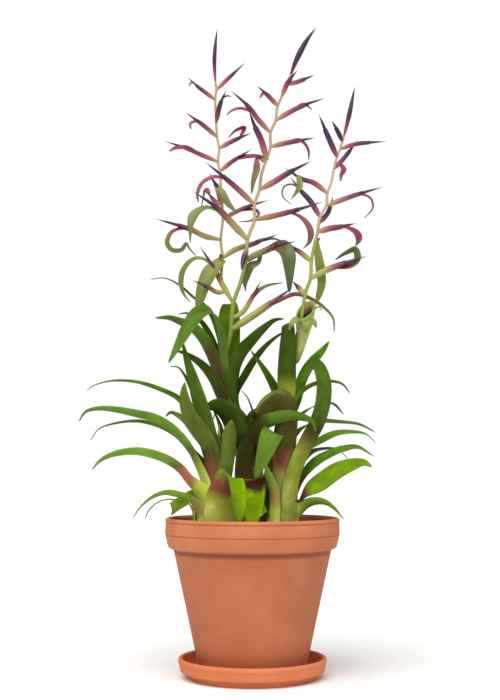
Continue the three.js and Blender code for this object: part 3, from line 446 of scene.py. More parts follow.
@dataclass(frozen=True)
class CollarFinish:
    """The collar: yellow-green outside, and maroon inside it, darkening with depth into painted shade."""

    name: str = "flower_collar"
    outside: Stops = ((0.0, "5f7a26"), (0.3, "9aa450"), (0.75, "a0a25a"), (1.0, "6f8f34"))
    # maroon inside, darkening deeper down into painted shade
    inside: Stops = ((0.0, "12050a"), (0.68, "2a0d14"), (0.8, "7a3c2c"), (0.9, "94843e"), (1.0, "a09a4a"))
    seed: float = 3
    spread: float = 0.2
    mottled: float = 0.6
    fibre_scale: Span = (6, 2)
    fibre_depth: float = 0.0004
    gloss: float = 0.42

    def material(self) -> bpy.types.Material:
        """Makes the material.

        Returns:
            The material.
        """
        r = Recipe(self.name)
        along, across = r.attribute("along"), r.attribute("across")
        fibres = r.streaks(across, along, self.seed, self.fibre_scale)
        reach = along + fibres.varies(self.spread)
        colour = r.mix(r.attribute("inside"), r.ramp(reach, self.outside), r.ramp(reach, self.inside))
        colour = r.brighter(colour, 1 + fibres.varies(self.mottled))
        return r.finish(Base_Color=colour, Roughness=self.gloss + fibres.varies(0.2),
                        Normal=r.relief(fibres, self.fibre_depth, 0.3))


@dataclass(frozen=True)
class ClayFinish:
    """Fired clay: mottled, a little sandy, with faint rings from the wheel.

    It is deeper below wall_top, and has painted shade along lines: each a height and a half width, in mm.
    """

    name: str
    body: str
    pale: str
    deep: str
    wall_top: float = 0
    painted_shade_lines: Profile = ()
    # painted shade: the colour of those lines
    painted_shade: str = "6a3018"
    mottles: float = 22
    wheel_rings: float = 60
    sand: float = 900
    ring_share: float = 0.14
    sand_share: float = 0.25
    wall_share: float = 0.4
    painted_shade_share: float = 0.6
    relief: float = 0.0006
    rough: float = 0.78

    def material(self) -> bpy.types.Material:
        """Makes the material.

        Returns:
            The material.
        """
        r = Recipe(self.name)
        patches = r.noise(r.place(), self.mottles, 4)
        rings = r.noise(r.place((1.5, 1.5, self.wheel_rings)), 6, 2)
        grain = r.noise(r.place(), self.sand, 2)
        colour = r.mix(patches.rises(0.3, 0.75), self.body, self.pale)
        colour = r.mix(rings.rises(0.45, 0.8) * self.ring_share, colour, self.deep)
        colour = r.mix(grain.rises(0.62, 0.75) * self.sand_share, colour, self.deep)
        height = Value(r, r.node("ShaderNodeSeparateXYZ", None, {0: r.place((1, 1, 1 / MM))}).outputs[2])
        below = 1 - height.rises(self.wall_top - 1, self.wall_top + 1)
        colour = r.mix(below * self.wall_share, colour, self.deep)
        # Painted shade under the rim band and in the grooves.
        for middle, half in self.painted_shade_lines:
            shadow = 1 - abs(height - middle).rises(half * 0.2, half)
            colour = r.mix(shadow * self.painted_shade_share, colour, self.painted_shade)
        height = rings * 0.2 + grain * 0.25
        return r.finish(Base_Color=colour, Roughness=self.rough + patches.varies(0.2),
                        Normal=r.relief(height, self.relief, 0.5))


@dataclass(frozen=True)
class SoilFinish:
    """Dark potting soil."""

    name: str = "potting_soil"
    dark: str = "1c130d"
    light: str = "4a3626"
    grit: str = "8c8069"
    crumbs: float = 260
    flecks: float = 700

    def material(self) -> bpy.types.Material:
        """Makes the material.

        Returns:
            The material.
        """
        r = Recipe(self.name)
        crumbs = r.noise(r.place(), self.crumbs, 5)
        fleck = r.noise(r.place(), self.flecks, 2)
        colour = r.mix(crumbs.rises(0.35, 0.7), self.dark, self.light)
        colour = r.mix(fleck.rises(0.68, 0.74), colour, self.grit)
        return r.finish(Base_Color=colour, Roughness=0.95, Normal=r.relief(crumbs, 0.002))


# ---- Meshes ----


@dataclass
class Spine:
    """A line through points, with a frame carried along it that never spins."""

    points: list[Vector]
    tangents: list[Vector]
    normals: list[Vector]
    reach: list[float]

    @classmethod
    def along(cls, points: Sequence[Vector], face: Vector, first: Vector | None = None) -> "Spine":
        """Carries a frame along a line.

        Args:
            points: The line.
            face: The normal at its start.
            first: The direction in which it starts, where that isn't towards the next point.

        Returns:
            The spine.
        """
        tangents = [
            (points[min(i + 1, len(points) - 1)] - points[max(i - 1, 0)]).normalized() for i in range(len(points))
        ]
        tangents[0] = first or tangents[0]
        normals, reach = [], [0.0]
        for i, tangent in enumerate(tangents):
            normal = (normals[-1] if normals else face).copy()
            if i:
                normal.rotate(tangents[i - 1].rotation_difference(tangent))
                reach.append(reach[-1] + (points[i] - points[i - 1]).length)
            normals.append((normal - tangent * normal.dot(tangent)).normalized())
        return cls(list(points), tangents, normals, reach)


def smooth_line(knots: Sequence[Vector], steps: int) -> list[Vector]:
    """Runs a smooth line through points.

    Args:
        knots: The points.
        steps: How many pieces each stretch between two of them gets.

    Returns:
        The finer points.
    """
    ends = [2 * knots[0] - knots[1], *knots, 2 * knots[-1] - knots[-2]]
    line = []
    for a, b, c, d in zip(ends, ends[1:], ends[2:], ends[3:]):
        ab, bc, cd = (math.sqrt((q - p).length) for p, q in ((a, b), (b, c), (c, d)))
        out = (c - b) + bc * ((b - a) / ab - (c - a) / (ab + bc))
        into = (c - b) + bc * ((d - c) / cd - (d - b) / (bc + cd))
        for k in range(steps):
            t = k / steps
            line.append(b + out * t + (3 * (c - b) - 2 * out - into) * t ** 2 + (2 * (b - c) + out + into) * t ** 3)
    return [*line, knots[-1].copy()]


def at_share(spine: Spine, share: float) -> tuple[Vector, Vector, Vector]:
    """Looks along a spine.

    Args:
        spine: The spine.
        share: How far along it, as a share of its length.

    Returns:
        The point, tangent and normal there.
    """
    goal = share * spine.reach[-1]
    i = next((k for k, reach in enumerate(spine.reach) if reach >= goal and k), len(spine.reach) - 1)
    part = (goal - spine.reach[i - 1]) / (spine.reach[i] - spine.reach[i - 1])
    lines = (spine.points, spine.tangents, spine.normals)
    return tuple(line[i - 1].lerp(line[i], part) for line in lines)


def profile_at(profile: Profile, share: float) -> float:
    """Reads a profile, smoothly between its pairs.

    Args:
        profile: Pairs of a share and the value there.
        share: Where it is read.

    Returns:
        The value.
    """
    for (low, a), (high, b) in zip(profile, profile[1:]):
        if share <= high:
            return blend(a, b, eased(share, low, high) * 0.5 + (share - low) / (high - low) * 0.5)
    return profile[-1][1]


def round_spot(frame_at: tuple[Vector, Vector, Vector], radius: float, angle: float) -> Vector:
    """Finds a spot round a line.

    Args:
        frame_at: The point, tangent and normal of the line.
        radius: How far from the line the spot is.
        angle: How far round it the spot is.

    Returns:
        The spot.
    """
    centre, tangent, normal = frame_at
    return centre + radius * (normal * math.cos(angle) + tangent.cross(normal) * math.sin(angle))


def bent_spot(centre: Vector, side: Vector, normal: Vector, bend: float, lift: float, angle: float) -> Vector:
    """Finds a spot on a strap that is bent across its width.

    Args:
        centre: The point of its middle line.
        side: The way across it.
        normal: The way to the middle of the bend.
        bend: The radius of the bend.
        lift: How far the spot stands in from the middle of its thickness.
        angle: How far round the bend the spot is.

    Returns:
        The spot.
    """
    arm = bend - lift
    return centre + side * arm * math.sin(angle) + normal * (bend - arm * math.cos(angle))


def add_sheet(
    shape: bmesh.types.BMesh, columns: int, rows: int, place: Callable[[int, int], tuple[Vector, Marks]],
    material: int = 0,
) -> None:
    """Adds a grid of faces and moves its corners to their places. Edges that meet are closed.

    Args:
        shape: What the sheet is added to.
        columns: Faces across.
        rows: Faces along.
        place: Gives the place in millimetres, and the marks for the material, of a column and row.
        material: The number of the sheet's material on its piece.
    """
    names = place(0, 0)[1]
    for name in names:
        if name not in shape.verts.layers.float:
            shape.verts.layers.float.new(name)
    layers = {name: shape.verts.layers.float[name] for name in names}
    verts = bmesh.ops.create_grid(shape, x_segments=columns, y_segments=rows, size=1)["verts"]
    for vert in verts:
        column = round((vert.co.x + 1) / 2 * columns)
        row = round((vert.co.y + 1) / 2 * rows)
        spot, marks = place(column, row)
        vert.co = spot * MM
        for name, value in marks.items():
            vert[layers[name]] = value
    faces = {face for vert in verts for face in vert.link_faces}
    for face in faces:
        face.material_index = material
        face.smooth = True
    bmesh.ops.remove_doubles(shape, verts=verts, dist=MERGE)


def finished(
    name: str, shape: bmesh.types.BMesh, materials: Sequence[bpy.types.Material], slot: str, *nodes: str,
) -> None:
    """Makes a piece of the object from a mesh.

    Args:
        name: The piece's name.
        shape: Its mesh in metres, used up here.
        materials: Its materials, in the order of their numbers.
        slot: The slot that it takes its finish from; not used.
        *nodes: The solids that it stands for.
    """
    bmesh.ops.recalc_face_normals(shape, faces=shape.faces)
    mesh = bpy.data.meshes.new(name)
    shape.to_mesh(mesh)
    shape.free()
    for material in materials:
        mesh.materials.append(material)
    piece = bpy.data.objects.new(name, mesh)
    bpy.context.scene.collection.objects.link(piece)
    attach(piece, "root")
    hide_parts(*nodes)
    log.info("%s: %d faces", name, len(mesh.polygons))


def turned(profile: Profile, soft: float, sides: int = 128) -> bmesh.types.BMesh:
    """Turns a closed profile round the pot's axis.

    Args:
        profile: Radius and height of its corners, in order.
        soft: How far its sharper corners are rounded, in millimetres.
        sides: Faces round the axis.

    Returns:
        The mesh.
    """
    shape = bmesh.new()
    corners = [shape.verts.new((r * MM, 0, z * MM)) for r, z in profile]
    chain = [shape.edges.new(pair) for pair in zip(corners, corners[1:])]
    if profile[0][0] > 0:
        chain.append(shape.edges.new((corners[-1], corners[0])))
    bmesh.ops.spin(shape, geom=corners + chain, axis=UP, cent=(0, 0, 0), dvec=(0, 0, 0),
                   angle=math.tau, steps=sides, use_merge=True)
    bmesh.ops.remove_doubles(shape, verts=shape.verts, dist=MERGE)
    bmesh.ops.recalc_face_normals(shape, faces=shape.faces)
    sharp = [edge for edge in shape.edges if edge.calc_face_angle(0) > SHARP]
    bmesh.ops.bevel(shape, geom=sharp, offset=soft * MM, offset_type="OFFSET", segments=3, profile=0.5,
                    affect="EDGES", clamp_overlap=True, material=-1)
    for face in shape.faces:
        face.smooth = True
    return shape


# ---- Pot, saucer and soil ----


@dataclass
class Saucer:
    """A shallow round dish on a narrower foot."""

    rim_radius: float = 71.5
    height: float = 19.4
    wall: float = 4.6
    lip_depth: float = 5
    lip_step: float = 0.6
    lip_round: float = 0.3
    lip_inside: float = 3
    skirt_radius: float = 69.6
    skirt_bottom: float = 6.2
    foot_radius: float = 62
    foot_flare: float = 0.8
    floor_top: float = 7
    cove: float = 2
    chamfer: float = 1
    soft: float = 0.6

    def build(self, clay: bpy.types.Material) -> None:
        """Turns the dish.

        Args:
            clay: Its finish.
        """
        inner = self.rim_radius - self.wall
        lip_bottom, shoulder = self.height - self.lip_depth, self.height - self.chamfer
        profile = [
            (0, 0), (self.foot_radius, 0), (self.foot_radius + self.foot_flare, self.skirt_bottom - self.chamfer),
            (self.skirt_radius - self.chamfer, self.skirt_bottom),
            (self.skirt_radius, self.skirt_bottom + self.chamfer),
            (self.rim_radius - self.lip_step, lip_bottom), (self.rim_radius, lip_bottom + self.chamfer),
            (self.rim_radius - self.lip_round, shoulder), (self.rim_radius - self.wall / 2, self.height),
            (inner + self.lip_round, shoulder), (inner, self.height - self.lip_inside),
            (inner - self.cove, self.floor_top + self.cove), (inner - 2 * self.cove, self.floor_top),
            (0, self.floor_top),
        ]
        finished("clay_saucer_dish", turned(profile, self.soft), [clay], "clay_saucer", "saucer")


@dataclass
class Pot:
    """A tapered clay pot with a deep rim band, a line under its lip and a groove round its middle."""

    rim_radius: float = 85
    rim_top: float = 152
    lip_round: float = 2.4
    lip_inside: float = 2
    lip_fall: float = 0.5
    lip_line: float = 148.2
    lip_line_shade: float = 0.5
    band_inset: float = 0.4
    band_groove: float = 136.2
    band_groove_shade: float = 0.7
    groove_depth: float = 0.7
    groove_half: float = 0.9
    band_bottom_radius: float = 82
    band_bottom: float = 124.6
    neck_radius: float = 76.3
    neck_height: float = 121.4
    neck_shadow: Span = (-1.4, 4)
    foot_radius: float = 51.6
    wall: float = 5.8
    floor: float = 8
    drain_radius: float = 9
    base: float = 7 + GAP
    soil_top: float = 136
    chamfer: float = 1
    soft: float = 0.5

    def painted_shade_lines(self) -> Profile:
        """Lists the lines of painted shade round the pot: under the rim band and in its grooves.

        Returns:
            A height and a half width of each.
        """
        below, half = self.neck_shadow
        return ((self.neck_height + below, half), (self.band_groove, self.band_groove_shade),
                (self.lip_line, self.lip_line_shade))

    def groove(self, height: float) -> list[Span]:
        """Shapes a thin groove in the band.

        Args:
            height: The groove's middle.

        Returns:
            Its corners, from the lowest.
        """
        edge = self.rim_radius - self.band_inset
        return [(edge - self.band_inset, height - self.groove_half), (edge - self.groove_depth, height),
                (edge, height + self.groove_half)]

    def inner_wall(self, clearance: float = 0) -> list[Span]:
        """Shapes the inside wall.

        Args:
            clearance: How far inside it the line runs.

        Returns:
            Its corners at the rim, the soil's top, the neck and the floor.
        """
        rim = self.rim_radius - self.wall - clearance
        return [(rim, self.rim_top - self.lip_inside), (rim - self.chamfer, self.soil_top),
                (self.neck_radius - self.wall - clearance, self.neck_height),
                (self.foot_radius - self.wall + self.chamfer - clearance, self.base + self.floor + clearance)]

    def build(self, clay: bpy.types.Material) -> None:
        """Turns the pot.

        Args:
            clay: Its finish.
        """
        inner = self.inner_wall()
        profile = [
            (self.drain_radius, self.base), (self.foot_radius - self.chamfer, self.base),
            (self.foot_radius, self.base + self.chamfer), (self.neck_radius, self.neck_height),
            (self.band_bottom_radius - self.chamfer, self.band_bottom - self.chamfer),
            (self.band_bottom_radius, self.band_bottom + self.chamfer), *self.groove(self.band_groove),
            *self.groove(self.lip_line), (self.rim_radius, self.rim_top - self.lip_round),
            (self.rim_radius - self.lip_round, self.rim_top),
            (inner[0][0] + self.chamfer, self.rim_top - self.lip_fall),
            *inner, (self.drain_radius, self.base + self.floor),
        ]
        finished("clay_pot_wall", turned(profile, self.soft), [clay], "clay_pot", "pot")


@dataclass
class Soil:
    """Crumbled soil with bits of bark, in a pot whose inside wall is given from the rim to the floor."""

    wall: Profile
    rings: int = 36
    sides: int = 96
    soft: float = 0.01
    sunk: float = 0.5
    lumps: Profile = ((2.2, 160), (0.8, 420))
    chips: int = 170
    chips_within: float = 0.95
    chip_size: Span = (1.0, 2.4)
    chip_shape: Point = (1.4, 0.8, 0.6)
    chip_depth: float = 1.6
    chip_rough: Span = (0.75, 1.1)
    seed: int = 8

    def build(self, finish: bpy.types.Material) -> None:
        """Turns the bed, crumbles its top and lays the bark in it.

        Args:
            finish: Its finish.
        """
        _, (reach, top), neck, foot = self.wall
        rings = [(reach * (1 - k / self.rings), top) for k in range(self.rings)]
        shape = turned([(0, foot[1]), foot, neck, *rings, (0, top)], self.soft, self.sides)
        for vert in shape.verts:
            if vert.co.z > (top - self.sunk) * MM:
                lumps = (height * abs(noise.noise(vert.co * fineness)) for height, fineness in self.lumps)
                vert.co.z -= sum(lumps, self.sunk) * MM
        chance = random.Random(self.seed)
        for _ in range(self.chips):
            angle = chance.uniform(0, math.tau)
            radius = reach * self.chips_within * math.sqrt(chance.random())
            size = chance.uniform(*self.chip_size) * MM
            chip = bmesh.ops.create_icosphere(shape, subdivisions=1, radius=size)["verts"]
            bmesh.ops.scale(shape, vec=self.chip_shape, verts=chip)
            spot = Vector((radius * math.cos(angle), radius * math.sin(angle), top - self.chip_depth)) * MM
            for vert in chip:
                vert.co = spot + vert.co * chance.uniform(*self.chip_rough)
        for vert in shape.verts:
            vert.co.z = min(vert.co.z, top * MM)
        finished("potting_soil_bed", shape, [finish], "potting_soil", "soil")


# ---- Leaves ----


@dataclass(frozen=True)
class Leaf:
    """A strap leaf: the ring that its sheath stands in, the way it faces, and the blade's route.

    From blush on, the fields are what its finish reads: how strong a colour is, or where it starts or ends.
    """

    tone: Tone
    ring: int
    facing: float
    rise: float
    width: float
    route: tuple[Point, ...]
    tilt: float = 0
    wrap: float = 52
    taper: float = 0.52
    roll: float = 0
    blunt: bool = False
    blush: float = 0.25
    band: float = 0
    brown: float = 0
    shade: float = 0
    # painted shade: how much darker the lower sheath is made
    deep: float = 0
    maroon: float = 0
    # painted reflection: how much of the sky's grey-green lies on the blade
    bloom: float = 0
    rim: float = 0
    # painted light: how much of the lit colour lies on the sheath
    foot: float = 0


@dataclass
class Rosette:
    """A shoot: sheaths in rings round its axis, and the blades that leave them."""

    name: str
    axis: tuple[Point, ...]
    core: float
    ring_step: float
    sheath: float
    blade: float
    leaves: tuple[Leaf, ...]
    bend_clearance: float = 8
    ring_ease: float = 0.1
    columns: tuple[float, ...] = (-1, -0.985, -0.93, -0.78, -0.52, -0.2, 0, 0.2, 0.52, 0.78, 0.93, 0.985, 1)
    steps: int = 6
    frees_from: float = 0.9
    freed_after: float = 0.18
    tilted_after: float = 0.3
    narrowing: float = 0.93
    narrowing_power: float = 1.9
    fullness: float = 0.8
    edge_power: int = 6
    open_roll: float = 0.9
    seed_step: float = 7.31
    # Some looks are painted: deep is shade, foot is light, and the grey-green sheen is a reflection.
    looks: tuple[str, ...] = ("blush", "band", "brown", "shade", "deep", "maroon", "bloom", "rim", "foot")

    def ring_radius(self, ring: int) -> float:
        """Gives the radius of the middle of a sheath's wall."""
        return self.core + GAP + self.sheath / 2 + self.ring_step * ring + self.ring_ease

    def axis_point(self, height: float) -> Vector:
        """Finds the shoot's axis.

        Args:
            height: The height at which it is wanted.

        Returns:
            The point of the axis there.
        """
        i = next((k for k in range(1, len(self.axis)) if self.axis[k][2] >= height), len(self.axis) - 1)
        low, high = Vector(self.axis[i - 1]), Vector(self.axis[i])
        return low + (high - low) * ((height - low.z) / (high.z - low.z))

    def sheath_heights(self, rise: float) -> list[float]:
        """Lists the heights of a sheath's stations.

        Args:
            rise: The height at which its blade leaves it.

        Returns:
            The heights, from its foot to its rise.
        """
        foot = self.axis[0][2] + GAP
        bends = [z for _, _, z in self.axis[1:] if z < rise - self.bend_clearance]
        return [foot, *(bends or [(foot + rise) / 2]), rise]

    def build_leaf(self, number: int, leaf: Leaf, material: bpy.types.Material) -> None:
        """Builds one leaf.

        Args:
            number: Its number on the shoot.
            leaf: Its row.
            material: Its finish.
        """
        angle = math.radians(leaf.facing)
        out = Vector((math.cos(angle), math.sin(angle), 0))
        radius = self.ring_radius(leaf.ring)
        heights = self.sheath_heights(leaf.rise)
        knots = [self.axis_point(height) + out * radius for height in heights]
        knots += [Vector(point) for point in leaf.route]
        spine = Spine.along(smooth_line(knots, self.steps), -out, UP)
        length = spine.reach[-1]
        left_at = spine.reach[(len(heights) - 1) * self.steps]
        freed = left_at / length
        middle = len(spine.points) // 2
        turn = 1 if spine.tangents[middle].cross(spine.normals[middle]).y < 0 else -1
        sheath_half = radius * math.radians(leaf.wrap)
        roll = leaf.roll or leaf.width * self.open_roll
        rows = len(spine.points) - 1
        count = len(self.columns) - 1
        marks = {"seed": number * self.seed_step + len(self.name)} | {look: getattr(leaf, look) for look in self.looks}

        def place(column: int, row: int) -> tuple[Vector, Marks]:
            """Places a corner of the leaf's skin, which runs over its face and back under it.

            Args:
                column: Its number across.
                row: Its number along.

            Returns:
                The place and the marks.
            """
            face = 1 if column <= count else -1
            share = self.columns[column if face > 0 else 2 * count - column]
            along = spine.reach[row] / length
            opened = eased(along, freed * self.frees_from, freed + self.freed_after)
            point = max(0.0, (along - leaf.taper) / (1 - leaf.taper))
            taper = 1 if leaf.blunt else (1 - self.narrowing * point ** self.narrowing_power) * (row < rows)
            half = blend(sheath_half, leaf.width / 2, opened) * taper
            bend = blend(radius, roll, opened)
            thick = blend(self.sheath, self.blade, opened) * self.fullness
            thick *= math.sqrt(max(0.0, 1 - abs(share) ** self.edge_power))
            if row in (0, rows):
                thick = 0
            tilt = math.radians(leaf.tilt) * eased(along, freed, freed + self.tilted_after) * turn
            tangent, normal = spine.tangents[row], spine.normals[row].copy()
            side = tangent.cross(normal)
            normal, side = (normal * math.cos(tilt) + side * math.sin(tilt),
                            side * math.cos(tilt) - normal * math.sin(tilt))
            spot = bent_spot(spine.points[row], side, normal, bend, face * thick / 2, share * half / bend)
            reach = spine.reach[row]
            own = {"across": share, "rise": (reach - left_at) / CM, "to_tip": (length - reach) / CM,
                   "under": float(face < 0)}
            return spot, marks | own

        shape = bmesh.new()
        add_sheet(shape, 2 * count, rows, place)
        label = f"{self.name}_leaf_{number:02d}"
        finished(f"{label}_blade", shape, [material], leaf.tone.value, label)

    def build(self, materials: dict[Tone, bpy.types.Material]) -> None:
        """Builds every leaf.

        Args:
            materials: The finish of each tone.
        """
        for number, leaf in enumerate(self.leaves, 1):
            self.build_leaf(number, leaf, materials[leaf.tone])


# ---- Flower stalks ----


@dataclass(frozen=True)
class Stem:
    """A flower stalk's stem along its route."""

    thick: float
    thin: float
    route: tuple[Point, ...]


@dataclass(frozen=True)
class Flower:
    """A pod from the stem to its dark point, and the bract that curls away from it."""

    pod: tuple[Point, ...]
    girth: float
    bract: tuple[Point, ...] = ()
    width: float = 0
    leafy: bool = False
    spindle: bool = False
    green: float | None = None
    plain: float | None = None
    shade: float = 0
    dusk: float = 0


@dataclass(frozen=True)
class Collar:
    """A sheath that clasps a stem and opens in a slanting mouth, with lips that curl back."""

    axis: tuple[Point, ...]
    girths: tuple[float, ...]
    mouth: Point
    faces: Point
    lips: tuple[tuple[float, tuple[Point, ...]], ...]
    wall: float = 1.3
    steps: int = 6
    sides: int = 20
    rows_outside: int = 14
    rows: int = 23
    mouth_from: int = 20
    mouth_steps: int = 60
    inside_from: float = 0.36
    lip_shade: float = 0.15


@dataclass(frozen=True)
class Ribbon:
    """The form of a bract; a leafy one has a narrow neck and is widest past its middle."""

    columns: tuple[float, ...] = (-1, -0.94, -0.5, 0, 0.5, 0.94, 1)
    steps: int = 7
    root: float = 0.5
    opening: float = 1.8
    neck: float = 0.45
    neck_span: Span = (0.15, 0.6)
    narrowing: float = 0.9
    narrowing_power: float = 2.2
    widest: float = 0.6
    thick: float = 0.3
    edge_power: int = 6
    roll: float = 0.8
    face: Point = (0, -0.7, 0.7)

    def half_width(self, width: float, along: float, leafy: bool) -> float:
        """Gives the ribbon's width on either side of its middle line.

        Args:
            width: Its widest part.
            along: How far along it, from 0 to 1.
            leafy: Whether it is leafy.

        Returns:
            The half width there.
        """
        if leafy:
            opened, narrowed = blend(self.neck, 1, eased(along, *self.neck_span)), eased(along, self.widest, 1)
        else:
            opened, narrowed = min(1, self.root + self.opening * along), along ** self.narrowing_power
        return width / 2 * opened * (1 - self.narrowing * narrowed)


@dataclass
class Stalk:
    """A flower stalk with its stems, pods and bracts."""

    name: str
    stems: tuple[Stem, ...]
    flowers: tuple[Flower, ...]
    collar: Collar | None = None
    ribbon: Ribbon = Ribbon()
    sides: int = 10
    rows: int = 18
    stem_steps: int = 4
    pod_steps: int = 8
    mouth: float = 0.6
    petals_from: float = 0.35
    lobes: int = 3
    lobe_reach: float = 0.05
    lobes_from: float = 0.6
    root_steps: int = 20
    roots_within: int = 17
    stem_foot: float = 280
    stem_span: float = 320
    green_below: float = 400
    red_above: float = 475
    spindle_dusk: float = 0.2
    seed_step: float = 3.7
    tube: Profile = ((0, 0.5), (0.3, 0.95), (0.85, 0.9), (1, 0.78))
    petals: Profile = ((0, 0.55), (0.3, 0.72), (0.6, 0.45), (1, 0))
    spindle: Profile = ((0, 0.4), (0.2, 0.75), (0.42, 1), (0.62, 0.84), (0.82, 0.46), (1, 0))

    def add_tube(
        self, shape: bmesh.types.BMesh, spine: Spine, profile: Profile, half: float, span: Span, marks: Marks,
        lobe_reach: float = 0,
    ) -> None:
        """Adds a round tube along part of a spine, closed at both ends.

        Args:
            shape: The stalk's mesh.
            spine: The line that it follows.
            profile: Its radius along it, as shares of its largest.
            half: Its largest radius.
            span: The shares of the spine where it starts and ends.
            marks: What its material reads.
            lobe_reach: How far the lobes at its end stand out, as a share of the spine.
        """
        rows = self.rows

        def place(column: int, row: int) -> tuple[Vector, Marks]:
            """Places a corner of the tube.

            Args:
                column: Its number round the tube.
                row: Its number along it.

            Returns:
                The place and the marks.
            """
            share = min(max((row - 1) / (rows - 2), 0), 1)
            angle = math.tau * column / self.sides
            lobe = lobe_reach * math.cos(self.lobes * angle) * eased(share, self.lobes_from, 1)
            reach = blend(*span, share) + lobe
            radius = 0 if row in (0, rows) else half * profile_at(profile, share)
            spot = round_spot(at_share(spine, min(max(reach, 0), 1)), radius, angle)
            return spot, marks | {"along": reach, "across": math.cos(angle)}

        add_sheet(shape, self.sides, rows, place, 1)

    def nearest_on_stems(self, target: Vector) -> Vector:
        """Finds where a pod sits on a stem.

        Args:
            target: Where it sits in the photo.

        Returns:
            The point of the stems' axes that is nearest to it.
        """
        best = None
        for stem in self.stems:
            for a, b in zip(stem.route, stem.route[1:]):
                start, run = Vector(a), Vector(b) - Vector(a)
                share = min(max((target - start).dot(run) / run.length_squared, 0), 1)
                spot = start + run * share
                if best is None or (spot - target).length < (best - target).length:
                    best = spot
        return best

    def add_stem(self, shape: bmesh.types.BMesh, stem: Stem) -> None:
        """Adds a stem, thinner towards its top.

        Args:
            shape: The stalk's mesh.
            stem: The stem's row.
        """
        line = smooth_line([Vector(point) for point in stem.route], self.stem_steps)
        spine = Spine.along(line, FRONT)
        rows = len(line) + 1

        def place(column: int, row: int) -> tuple[Vector, Marks]:
            """Places a corner of the stem's skin.

            Args:
                column: Its number round the stem.
                row: Its number along it.

            Returns:
                The place and the marks.
            """
            i = min(max(row - 1, 0), len(line) - 1)
            angle = math.tau * column / self.sides
            radius = blend(stem.thick, stem.thin, math.sqrt(i / (len(line) - 1))) / 2
            radius = 0 if row in (0, rows) else radius
            spot = round_spot((line[i], spine.tangents[i], spine.normals[i]), radius, angle)
            along = (line[i].z - self.stem_foot) / self.stem_span
            return spot, {"along": along, "across": math.cos(angle), "seed": stem.thick}

        add_sheet(shape, self.sides, rows, place, 0)

    def add_flower(self, shape: bmesh.types.BMesh, flower: Flower, seed: float) -> None:
        """Adds a pod and its bract.

        Args:
            shape: The stalk's mesh.
            flower: The flower's row.
            seed: Where its streaks start.
        """
        first, *rest = (Vector(point) for point in flower.pod)
        line = smooth_line([self.nearest_on_stems(first), *rest], self.pod_steps)
        green = 1 - eased(line[0].z, self.green_below, self.red_above) if flower.green is None else flower.green
        start = (line[1] - line[0]).normalized()
        face = (FRONT + start * start.y).normalized()
        spine = Spine.along(line, face)
        plain = float(flower.leafy) if flower.plain is None else flower.plain
        marks = {"seed": seed, "green": green, "shade": flower.shade, "plain": plain,
                 "dusk": flower.dusk + self.spindle_dusk * flower.spindle}
        half = flower.girth / 2
        if flower.spindle:
            self.add_tube(shape, spine, self.spindle, half, (0, 1), marks)
        else:
            self.add_tube(shape, spine, self.tube, half, (0, self.mouth), marks, self.lobe_reach)
            self.add_tube(shape, spine, self.petals, half, (self.petals_from, 1), marks)
        if flower.bract:
            first, *rest = (Vector(point) for point in flower.bract)
            roots = [at_share(spine, k / self.root_steps)[0] for k in range(self.roots_within)]
            root = min(roots, key=lambda spot: (spot - first).length)
            self.add_bract(shape, [root, *rest], flower.width, marks, flower.leafy)

    def add_bract(
        self, shape: bmesh.types.BMesh, route: Sequence[Vector], width: float, marks: Marks, leafy: bool = False,
    ) -> None:
        """Adds a bract that curls away along a route.

        Args:
            shape: The stalk's mesh.
            route: The points that it follows from its root.
            width: Its widest part.
            marks: What its material reads.
            leafy: Whether it is of the leafy form.
        """
        form = self.ribbon
        line = smooth_line(route, form.steps)
        spine = Spine.along(line, Vector(form.face))
        count, rows = len(form.columns) - 1, len(line) - 1

        def place(column: int, row: int) -> tuple[Vector, Marks]:
            """Places a corner of the bract's skin, which runs over its face and back under it.

            Args:
                column: Its number across.
                row: Its number along.

            Returns:
                The place and the marks.
            """
            face = 1 if column <= count else -1
            share = form.columns[column if face > 0 else 2 * count - column]
            along = row / rows
            half = form.half_width(width, along, leafy) * (row < rows)
            lift = form.thick * face * math.sqrt(1 - share ** form.edge_power) * (0 < row < rows)
            bend = width * form.roll
            normal = spine.normals[row]
            side = spine.tangents[row].cross(normal)
            spot = bent_spot(line[row], side, normal, bend, lift, share * half / bend)
            return spot, marks | {"along": along, "across": share}

        add_sheet(shape, 2 * count, rows, place, 2)

    def add_collar(self, shape: bmesh.types.BMesh, collar: Collar) -> None:
        """Adds the collar: up its outside to the slanting mouth, and down inside it.

        Args:
            shape: The stalk's mesh.
            collar: The collar's row.
        """
        line = smooth_line([Vector(point) for point in collar.axis], collar.steps)
        spine = Spine.along(line, FRONT)
        girths = [(spine.reach[k * collar.steps] / spine.reach[-1], girth / 2) for k, girth in enumerate(collar.girths)]
        faces, mouth = Vector(collar.faces), Vector(collar.mouth)
        rise, rows = collar.rows_outside, collar.rows
        stations = [k / collar.mouth_steps for k in range(collar.mouth_from, collar.mouth_steps)]

        def wall_at(share: float, angle: float, inset: float = 0) -> Vector:
            """Finds a spot on the wall.

            Args:
                share: How far up the collar it is.
                angle: Where it is round it.
                inset: How deep in the wall it is.

            Returns:
                The spot.
            """
            return round_spot(at_share(spine, share), profile_at(girths, share) - inset, angle)

        def place(column: int, row: int) -> tuple[Vector, Marks]:
            """Places a corner of the collar's skin.

            Args:
                column: Its number round the collar.
                row: Its number along its outside, and on down inside it.

            Returns:
                The place and the marks.
            """
            angle = math.tau * column / collar.sides
            top = next((k for k in stations if faces.dot(wall_at(k, angle) - mouth) > 0), 1.0)
            inside = row > rise
            depth = (row - rise - 1) / (rows - rise - 1) if inside else 1 - row / rise
            share = blend(top, collar.inside_from if inside else 0, depth)
            spot = wall_at(share, angle, collar.wall if inside else 0)
            if row in (0, rows):
                spot = at_share(spine, share)[0]
            return spot, {"along": 1 - depth, "across": math.cos(angle), "inside": float(inside)}

